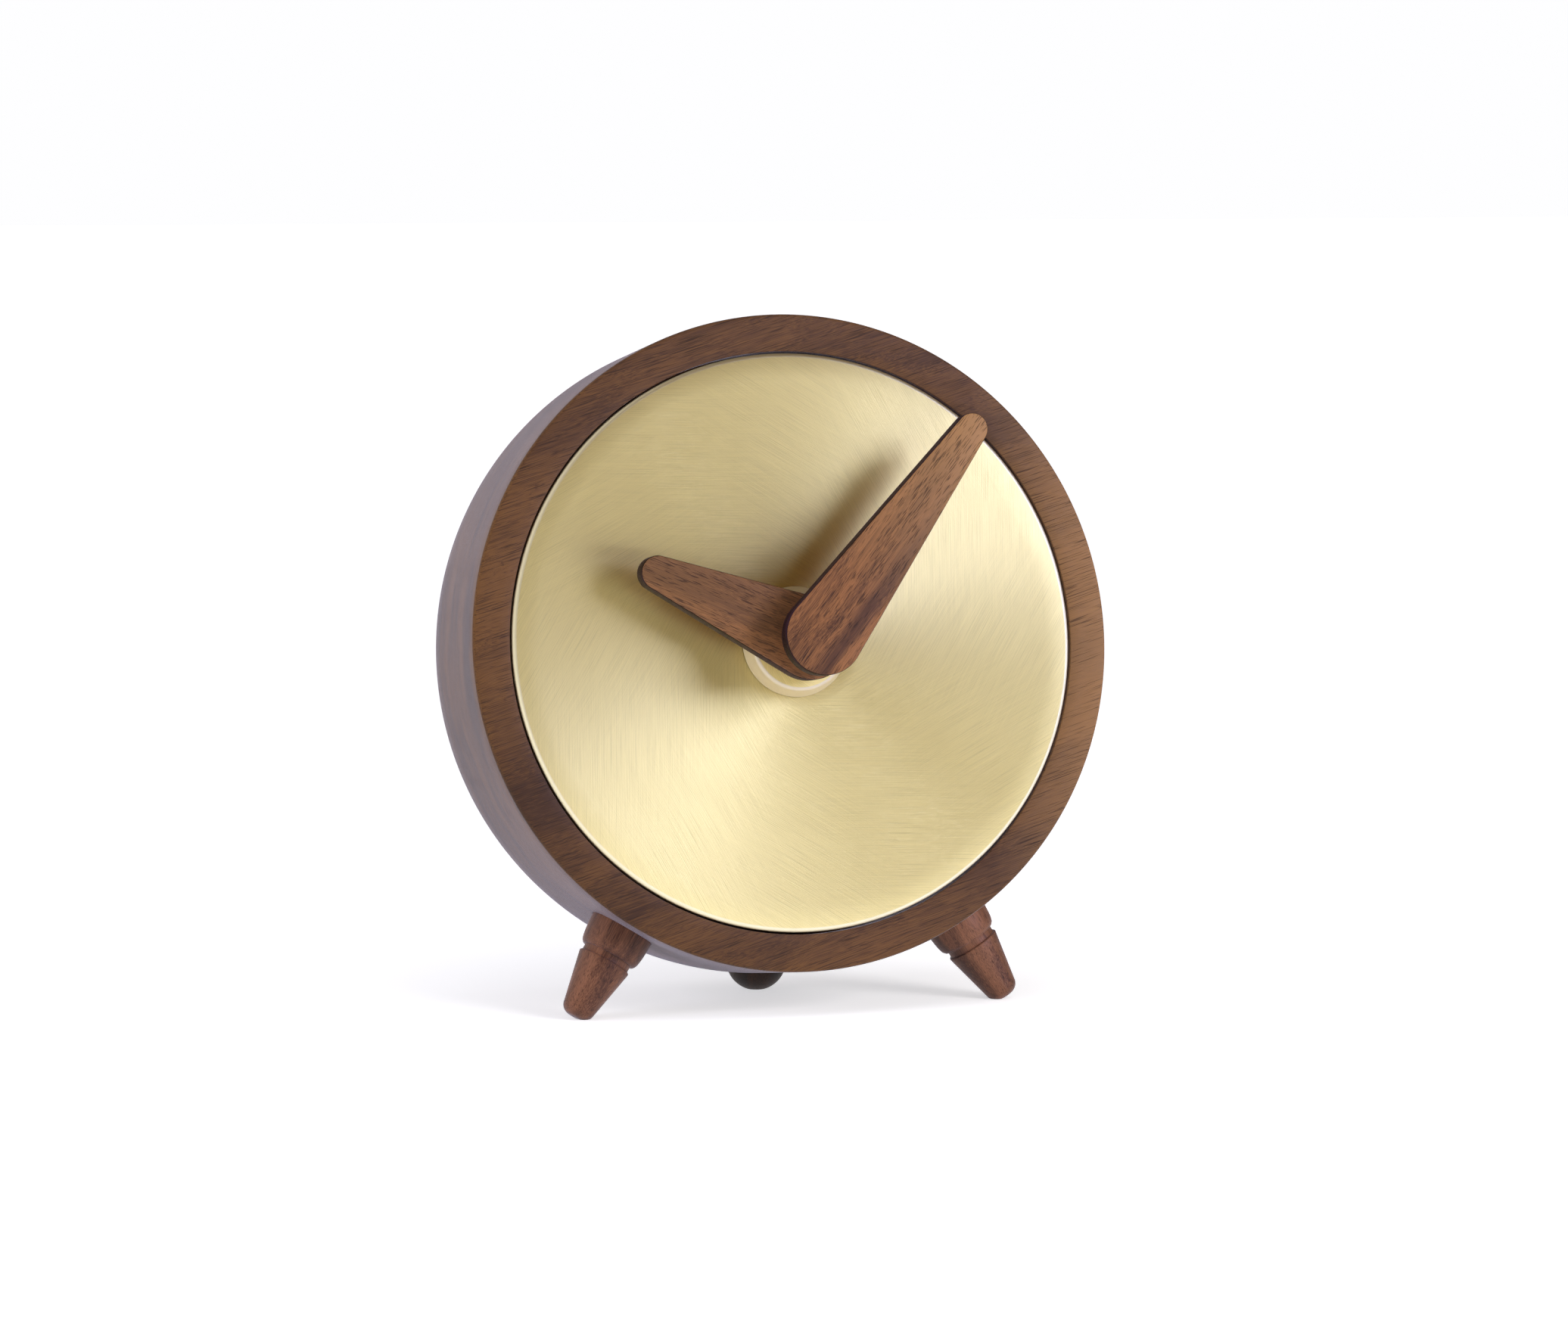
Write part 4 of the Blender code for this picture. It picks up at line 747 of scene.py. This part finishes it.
class CLOCK_OT_dial(bpy.types.Operator):
    """Spin the brass dial with its rolled rim, and the collar round its centre"""

    bl_idname = "clock.dial"
    bl_label = "Dial and collar"

    def execute(self, context):
        dial, finish = settings().dial, settings().finish
        face, back = dial.proud, -dial.seat - dial.sheet
        steep = math.degrees(math.atan(2 * dial.fall / (dial.fall_width - dial.roll)))
        fall_start, roll_start = dial.radius - dial.fall_width, dial.radius - dial.roll
        roll_top = face - dial.fall
        inner = dial.radius - dial.sheet
        profile = [
            (dial.hole_radius, -dial.seat),
            (dial.collar_inner, -dial.seat),
            # Under the collar the sheet steps up to its face
            (dial.collar_top, face),
            *between((dial.collar_top, face), (fall_start, face), 11),
            # The sheet falls away a little towards its edge and rolls over into the skirt
            *fall(fall_start, roll_start, face, dial.fall),
            *arc(dial.radius - dial.roll, roll_top - dial.roll, dial.roll, dial.roll, 90 - steep, 0, 16),
            (dial.radius, -dial.skirt),
            (inner, -dial.skirt),
            (inner, back),
            (dial.hole_radius, back),
        ]
        # From the rounding's start outwards the brass is tinted paler: a painted highlight on the rim
        rim_from = roll_start / MILLIMETRE
        brass = brushed_brass("brass_sheet_brushed_and_lacquered", finish.brass, rim_from, finish.rim)
        add_piece("dial_sheet", turned(profile, ring=True), brass, "case", ["dial_pan"])
        foot, top = face + SEAT_GAP, dial.collar_rise
        edge, under = dial.collar_round, top - dial.collar_plate
        profile = [
            (dial.collar_hole, top),
            *between((dial.collar_hole, top), (dial.collar_top - edge, top), 3),
            *arc(dial.collar_top - edge, top - edge, edge, edge, 90, 10),
            *between((dial.collar_top, top - edge), (dial.collar_foot, foot), 5),
            (dial.collar_foot, foot),
            (dial.collar_inner, foot),
            (dial.collar_inner, under),
            (dial.collar_hole, under),
        ]
        side_from = (dial.collar_top - edge) / MILLIMETRE
        # Satin brass spreads light evenly, so no bow tie shows on the collar
        # Painted reflection: from its rounded edge outwards the collar is tinted paler than its top, as if it
        # mirrored the white surroundings
        shades = (finish.brass, side_from, finish.collar)
        satin = brushed_brass("brass_collar_satin_and_lacquered", *shades, anisotropy=0.0, roughness=0.64)
        shape = turned(profile, COLLAR_TURN_STEPS, ring=True)
        add_piece("dial_collar_ring", shape, satin, "case", ["dial_collar"])
        return {"FINISHED"}


def hand_loop(hub, tip, centres, level):
    """Hub circle and tip circle with their outer tangents, at one level, pointing along X."""
    slope = math.degrees(math.acos((hub - tip) / centres))
    broad_end = arc(0.0, 0.0, hub, hub, slope, 360 - slope, 56)
    for x, y in (*broad_end, *arc(centres, 0.0, tip, tip, -slope, slope, 32)):
        yield x, y, level


def hand_shape(hub, tip, centres, back, front, ease):
    """A flat hand whose front and back edges are eased with fine sandpaper."""
    steps = [math.radians(90 * step / 4) for step in range(5)]
    levels = [(back + ease * (1 - math.cos(a)), ease * (1 - math.sin(a))) for a in steps]
    levels += [(front - ease * (1 - math.cos(a)), ease * (1 - math.sin(a))) for a in reversed(steps)]
    return lofted([list(hand_loop(hub - inset, tip - inset, centres, level)) for level, inset in levels])


# A hand's wall faces less forwards than this, and the bore's wall lies nearer than this share of the hub
WALL_FACING = 0.8
WALL_SHARE = 0.9


class CLOCK_OT_hands(bpy.types.Operator):
    """Shape the two flat walnut hands, bored for their bushes"""

    bl_idname = "clock.hands"
    bl_label = "Hands"

    def execute(self, context):
        hands, finish = settings().hands, settings().finish
        shades = (finish.hand_light, finish.hand_dark, finish.walnut_pore)
        grain = {"pore_share": 0.565, "pore_run": 0.5, "layers": (0.30, 0.30)}
        # Painted highlight towards the minute hand's tip, which the key lamp lights. The hour hand gets only
        # a little lighter towards its tip
        pale = (0.2 * hands.minute_centres, hands.minute_centres, finish.walnut_pale_and_highlight, 0.8)
        drop = (15.0, 0.0, 3.0)
        minute_wood = walnut("walnut_planed_minute", shades, drop, heart=1.6, pale_tone_and_highlight=pale, **grain)
        pale = (-hands.hour_centres, hands.hour_centres, finish.walnut_pale_and_highlight, 0.25)
        drop = (80.0, 0.4, 20.0)
        hour_wood = walnut("walnut_planed_hour", shades, drop, heart=1.5, pale_tone_and_highlight=pale, **grain)
        # Charred wood is matt, and the pores hardly show in it. Its dark violet colour is partly painted
        # shade on the hands' walls
        shades = (finish.charred_and_shaded, finish.walnut_pore, finish.walnut_pore)
        charred_and_shaded = walnut("walnut_laser_cut_edge", shades, (7.0, 3.0, 9.0), shine=0.08, **grain)
        self.hand("minute", minute_wood, charred_and_shaded, hands.minute_front - hands.minute_cover)
        self.hand("hour", hour_wood, charred_and_shaded, hands.hour_front + MILLIMETRE)
        return {"FINISHED"}

    def hand(self, name, wood, charred_and_shaded, bore_end):
        """One hand, bored from behind, whose outline has the dark edge that a laser leaves, deepened by
        painted shade.
        """
        hands = settings().hands
        parts = ("hub", "tip", "centres", "front", "angle", "bore")
        hub, tip, centres, front, turn, bore = (getattr(hands, f"{name}_{part}") for part in parts)
        back = front - hands.thickness
        place = HEAD @ Matrix.Rotation(turn, 4, "Z")
        shape = hand_shape(hub, tip, centres, back, front, hands.ease)
        hand = add_piece(f"{name}_hand_wood", shape, wood, name, [f"{name}_hand"], place)
        cut(hand, cutting_rod(bore, back - MILLIMETRE, bore_end, place))
        # Every outer wall takes the dark cut-edge colour, which is laser char and partly painted shade
        hand.data.materials.append(charred_and_shaded)
        for face in hand.data.polygons:
            wall = abs(face.normal.z) < WALL_FACING
            if wall and math.hypot(face.center.x, face.center.y) > WALL_SHARE * hub:
                face.material_index = 1


class CLOCK_OT_legs(bpy.types.Operator):
    """Turn the two legs, each with a collar, a groove and a tapered end worn flat where it stands"""

    bl_idname = "clock.legs"
    bl_label = "Legs"

    def execute(self, context):
        case, legs, finish = settings().case, settings().legs, settings().finish
        top = case.radius - legs.seat
        end = case.radius + legs.reach
        collar_end = case.radius + legs.collar_length
        shaft_top = collar_end + legs.groove_width
        tip, edge = legs.tip_round, legs.edge
        swell = legs.top_radius - legs.collar_radius
        taper_start = (legs.shaft_radius, shaft_top + edge)
        tip_points = list(arc(legs.tip_radius - tip, end - tip, tip, tip, 90, 6, 14))
        profile = [
            (0.0, end),
            *tip_points,
            *between(tip_points[-1], taper_start, 5),
            *arc(legs.shaft_radius - edge, shaft_top + edge, edge, edge, 0, -90, 4),
            *arc(legs.groove_radius + edge, shaft_top - edge / 2, edge, edge / 2, 90, 180, 4),
            *arc(legs.groove_radius + edge, collar_end + edge / 2, edge, edge / 2, 180, 270, 4),
            *arc(legs.collar_radius - edge, collar_end - edge, edge, edge, 90, 0, 4),
            *arc(legs.collar_radius, case.radius, swell, legs.collar_length - edge, 85, 0, 12),
            (legs.top_radius, top),
            (0.0, top),
        ]
        for name, side, drop in (("left", -1, (9.0, 5.0, 2.0)), ("right", 1, (70.0, 22.0, 31.0))):
            shades = (finish.leg_light, finish.leg_dark, finish.walnut_pore)
            look = {"pore_share": 0.62, "sheen": 0.4, **TURNING_GRAIN}
            wood = walnut(f"walnut_turned_{name}_leg", shades, drop, **look)
            place = leg_place(side)
            shape = trimmed_at_ground(turned(profile, SMALL_TURN_STEPS), place)
            add_piece(f"leg_{name}_turning", shape, wood, "case", [f"leg_{name}"], place)
        return {"FINISHED"}


class CLOCK_OT_foot(bpy.types.Operator):
    """Turn the ball foot that stands under the drum's shoulder"""

    bl_idname = "clock.foot"
    bl_label = "Ball foot"

    def execute(self, context):
        legs, finish = settings().legs, settings().finish
        profile = [
            (0.0, legs.foot_radius),
            *list(arc(0.0, 0.0, legs.foot_radius, legs.foot_radius, 90, 0, 24))[1:],
            (legs.foot_radius, -legs.foot_shank),
            (0.0, -legs.foot_shank),
        ]
        # Painted shade: the foot takes only the late-wood and pore colours, darker than the legs, as it
        # stands in the clock's shadow
        shades = (finish.walnut_dark, finish.walnut_pore, finish.walnut_pore)
        wood = walnut("walnut_turned_foot", shades, (40.0, 8.0, 8.0), **TURNING_GRAIN)
        place = foot_place()
        shape = trimmed_at_ground(turned(profile, SMALL_TURN_STEPS), place)
        add_piece("rear_foot_turning", shape, wood, "case", ["rear_foot"], place)
        return {"FINISHED"}


def dressed(names, material, rounding=0.0):
    """Gives CAD nodes a finish, and softens their edges where they show."""
    for name in names:
        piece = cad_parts[name]
        piece.data.materials.clear()
        piece.data.materials.append(material)
        if rounding:
            weld = piece.modifiers.new("Weld", "WELD")
            weld.merge_threshold = MERGE_CAD
            ease = piece.modifiers.new("Ease", "BEVEL")
            ease.width = rounding
            ease.segments = 3
            ease.limit_method = "ANGLE"
            ease.angle_limit = SHARP_ANGLE
            ease.harden_normals = True


class CLOCK_OT_movement(bpy.types.Operator):
    """Finish the moulded shells, the knob, the bushing and every wheel and fitting of the quartz movement"""

    bl_idname = "clock.movement"
    bl_label = "Movement"

    def execute(self, context):
        finish, rounding = settings().finish, settings().movement.mould_round
        shell = moulded("abs_moulded_black", finish.abs, 0.46, 0.18, 0.00002)
        dressed(["front_housing", "rear_housing", "setting_knob"], shell, rounding)
        dressed(["coil_bobbin"], shell)
        wheels = moulded("acetal_moulded_white", finish.acetal, 0.38, 0.4, 0.00001)
        dressed(["hour_wheel", "setting_wheel", "third_wheel", "seconds_wheel", "train_plate"], wheels)
        brass = turned_metal("brass_turned", finish.brass_turned, 0.30)
        dressed(["bushing", "bushing_nut", "minute_hand_bush", "hour_hand_bush"], brass)
        steel = turned_metal("steel_zinc_plated", finish.steel, 0.34)
        dressed(["leg_left_stud", "leg_right_stud", "rear_foot_stud", "minute_arbor"], steel)
        dressed(["bushing_washer", "motor_stator", "quartz_crystal", "contact_plus", "contact_minus"], steel)
        dressed(["coil_winding"], turned_metal("copper_wire_enamelled", finish.copper, 0.34, 0.25))
        dressed(["circuit_board"], moulded("laminate_lacquered_green", finish.board, 0.42, 0.5, 0.00001))
        dressed(["dial_backing"], moulded("hardboard_pressed", finish.hardboard, 0.78, 0.35, 0.00004))
        return {"FINISHED"}


class CLOCK_OT_cell(bpy.types.Operator):
    """Make the AA cell in its shrunk sleeve, and the coiled contact spring behind it"""

    bl_idname = "clock.cell"
    bl_label = "Cell and spring"

    def execute(self, context):
        movement, finish = settings().movement, settings().finish
        nub_end, cell_y, cell_z = movement.cell_place
        place = HEAD @ Matrix.Translation((nub_end, cell_y, cell_z)) @ Matrix.Rotation(math.pi / 2, 4, "Y")
        radius, roll, nub = movement.cell_radius, movement.cell_sleeve, movement.nub_radius
        shoulder = -movement.nub_length
        minus = shoulder - movement.cell_length
        step = nub / 8
        can = radius - 2 * roll
        profile = [
            (0.0, 0.0),
            *arc(nub - step, -step, step, step, 90, 0, 5),
            (nub, shoulder),
            (can, shoulder),
            (can, shoulder - roll / 3),
            *arc(radius - roll, shoulder - roll, roll, roll * 0.9, 120, 0, 8),
            *between((radius, shoulder - roll), (radius, minus + roll), 7),
            *arc(radius - roll, minus + roll, roll, roll * 0.9, 0, -120, 8),
            (can, minus + roll / 3),
            (can, minus),
            (0.0, minus),
        ]
        film = cell_film("pvc_film_shrunk", finish.sleeve, finish.sleeve_band, shoulder, movement.cell_length)
        shape = turned(profile, SMALL_TURN_STEPS)
        cell = add_piece("battery_cell_sleeved", shape, film, "case", ["battery_cell"], place)
        cell.data.materials.append(turned_metal("steel_nickel_plated", finish.steel, 0.22))
        for face in cell.data.polygons:
            middle = face.center
            if math.hypot(middle.x, middle.y) < can or middle.z > shoulder:
                face.material_index = 1
        self.spring(movement, finish, cell_y, cell_z)
        return {"FINISHED"}

    def spring(self, movement, finish, cell_y, cell_z):
        start, end = movement.spring_span
        turns, points_per_turn = 2, 32
        count = turns * points_per_turn
        curve = bpy.data.curves.new("contact_spring_coil", "CURVE")
        curve.dimensions = "3D"
        curve.bevel_depth = movement.spring_wire
        curve.bevel_resolution = 4
        curve.use_fill_caps = True
        spline = curve.splines.new("POLY")
        spline.points.add(count)
        for number, point in enumerate(spline.points):
            share = number / count
            radius = movement.spring_large + (movement.spring_small - movement.spring_large) * share
            turn = math.tau * turns * share
            point.co = (
                start + (end - start) * share,
                cell_y + radius * math.cos(turn),
                cell_z + radius * math.sin(turn),
                1.0,
            )
        spring = bpy.data.objects.new("contact_spring_coil", curve)
        spring.matrix_world = HEAD
        bpy.context.scene.collection.objects.link(spring)
        curve.materials.append(turned_metal("steel_spring_wire", finish.steel, 0.26))
        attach(spring, "case")
        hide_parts("contact_spring")


# Colour of each lamp's light. The glint is bluer than the key, because the brass warms what it mirrors
LAMP_LIGHT = {
    "key": (1.0, 0.98, 0.95),
    "glint": (0.88, 0.97, 1.62),
    "fill": (0.88, 0.88, 1.0),
    "top": (1.0, 1.0, 1.0),
}
# Millimetres from the clock between which the floor's glow grows
GLOW_REACH = (120.0, 1500.0)
# Where mirrored rays meet the white backdrop, and how near to that direction it starts and is whole
BACKDROP_SIDE = (-0.95, 0.31, 0.0)
BACKDROP_EDGE = (-0.1, 0.5)


class CLOCK_OT_stage(bpy.types.Operator):
    """Lay the pale floor, and set the world, the lamps and the photograph's camera"""

    bl_idname = "clock.stage"
    bl_label = "Stage"

    def execute(self, context):
        stage = settings().stage
        scene = bpy.context.scene
        scene.view_settings.view_transform = "Standard"
        self.floor(stage)
        self.world(stage, scene)
        lamps = {name: self.lamp(stage, name) for name in LAMP_LIGHT}
        # Metal and oiled wood mirror the glint lamp in place of the others
        lamps["glint"].visible_diffuse = False
        for name in ("key", "fill", "top"):
            lamps[name].visible_glossy = False
        camera = bpy.data.cameras.new("camera")
        camera.sensor_width = SENSOR_WIDTH
        camera.lens = CAMERA_LENS
        camera.clip_start, camera.clip_end = CAMERA_RANGE
        viewer = bpy.data.objects.new("camera", camera)
        viewer.location = DIAL_CENTRE + CAMERA_FROM_DIAL
        viewer.rotation_euler = (CAMERA_TILT, 0.0, CAMERA_TURN)
        scene.collection.objects.link(viewer)
        scene.camera = viewer
        return {"FINISHED"}

    def floor(self, stage):
        shape = bmesh.new()
        bmesh.ops.create_grid(shape, x_segments=8, y_segments=8, size=stage.floor_size / 2)
        floor = mesh_object("floor", shape, Matrix())
        # Smooth painted board: it takes the clock's shadow, and shows as near white where nothing shades it
        made, tree = new_material("painted_board", {"Roughness": 0.6, "Specular IOR Level": 0.2})
        shader = tree.nodes["Principled BSDF"]
        place = grain_places(tree)
        cloud = streaks(tree, place, 0.01, 0.01, 0.01, 2.0)
        shade = node(tree, "ValToRGB", (cloud,), stops=[(0.3, stage.floor), (0.7, toned(stage.floor, 1.01))])
        tree.links.new(shade, shader.inputs["Base Color"])
        # Away from the lamps the floor needs more of the glow to stay as white as the backdrop
        reach = node(tree, "VectorMath", (place,), "Value", operation="LENGTH")
        amount = node(tree, "MapRange", (reach, *GLOW_REACH, stage.floor_glow, stage.far_glow))
        added = node(tree, "Math", (self.seen_rays(tree), amount), operation="MULTIPLY")
        glow = node(tree, "Emission", {"Color": (*stage.glow, 1.0), "Strength": added})
        total = node(tree, "AddShader", (shader.outputs[0], glow))
        tree.links.new(total, tree.nodes["Material Output"].inputs["Surface"])
        floor.data.materials.append(made)

    def seen_rays(self, tree):
        """1 for rays that show the surroundings: straight from the camera, through glass, or mirrored."""
        rays = node(tree, "LightPath", out=None)
        camera, through, mirrored = (rays[f"Is {kind} Ray"] for kind in ("Camera", "Transmission", "Glossy"))
        straight = node(tree, "Math", (camera, through), operation="MAXIMUM")
        return node(tree, "Math", (mirrored, straight), operation="MAXIMUM")

    def world(self, stage, scene):
        world = bpy.data.worlds.new("studio")
        scene.world = world
        world.use_nodes = True
        tree = world.node_tree
        # Mirrored rays meet the white backdrop at the left, and a dimmer and warmer room everywhere else
        towards = node(tree, "TexCoord", out="Generated")
        facing = node(tree, "VectorMath", (towards, BACKDROP_SIDE), "Value", operation="DOT_PRODUCT")
        at_left = node(tree, "MapRange", (facing, *BACKDROP_EDGE), interpolation_type="SMOOTHSTEP")
        mirrored = node(tree, "LightPath", out="Is Glossy Ray")
        elsewhere = node(tree, "Math", (1.0, at_left), operation="SUBTRACT")
        dim = node(tree, "Math", (elsewhere, mirrored), operation="MULTIPLY")
        white, room, soft = ((*shade, 1.0) for shade in (stage.backdrop, stage.room, stage.soft))
        mixed = {"Factor": dim, MIX_A: white, MIX_B: room}
        shown = node(tree, "Mix", mixed, MIX_RESULT, data_type="RGBA")
        mixed = {"Factor": self.seen_rays(tree), MIX_A: soft, MIX_B: shown}
        seen = node(tree, "Mix", mixed, MIX_RESULT, data_type="RGBA")
        tree.links.new(seen, tree.nodes["Background"].inputs["Color"])

    def lamp(self, stage, name):
        """A square soft box that faces the dial's centre."""
        power, distance, size, direction = (
            getattr(stage, f"{name}_{part}") for part in ("power", "distance", "size", "direction")
        )
        light = bpy.data.lights.new(name, "AREA")
        light.energy, light.size, light.color = power, size, LAMP_LIGHT[name]
        towards = Vector(direction).normalized()
        box = bpy.data.objects.new(name, light)
        box.location = DIAL_CENTRE + towards * distance
        box.rotation_euler = towards.to_track_quat("Z", "Y").to_euler()
        bpy.context.scene.collection.objects.link(box)
        return box


class CLOCK_PT_panel(bpy.types.Panel):
    """The clock's sizes, colours and makers in the sidebar"""

    bl_idname = "CLOCK_PT_panel"
    bl_label = "Walnut table clock"
    bl_space_type = "VIEW_3D"
    bl_region_type = "UI"
    bl_category = "Clock"

    def draw(self, context):
        clock = context.scene.table_clock
        for group_name in clock.__annotations__:
            box = self.layout.box()
            box.label(text=group_name.capitalize())
            group = getattr(clock, group_name)
            for prop in group.__annotations__:
                box.prop(group, prop)
        for maker in MAKERS:
            self.layout.operator(maker.bl_idname)


GROUPS = (
    CaseSettings,
    DialSettings,
    HandSettings,
    LegSettings,
    MovementSettings,
    FinishSettings,
    StageSettings,
)
MAKERS = (
    CLOCK_OT_stage,
    CLOCK_OT_case,
    CLOCK_OT_dial,
    CLOCK_OT_hands,
    CLOCK_OT_legs,
    CLOCK_OT_foot,
    CLOCK_OT_movement,
    CLOCK_OT_cell,
)
CLASSES = (*GROUPS, ClockSettings, *MAKERS, CLOCK_PT_panel)


def register():
    for found in CLASSES:
        bpy.utils.register_class(found)
    bpy.types.Scene.table_clock = bpy.props.PointerProperty(type=ClockSettings)


def unregister():
    del bpy.types.Scene.table_clock
    for found in reversed(CLASSES):
        bpy.utils.unregister_class(found)


def main():
    register()
    for group, maker in (found.bl_idname.split(".") for found in MAKERS):
        getattr(getattr(bpy.ops, group), maker)()
    bpy.context.view_layer.update()


if __name__ == "__main__":
    main()
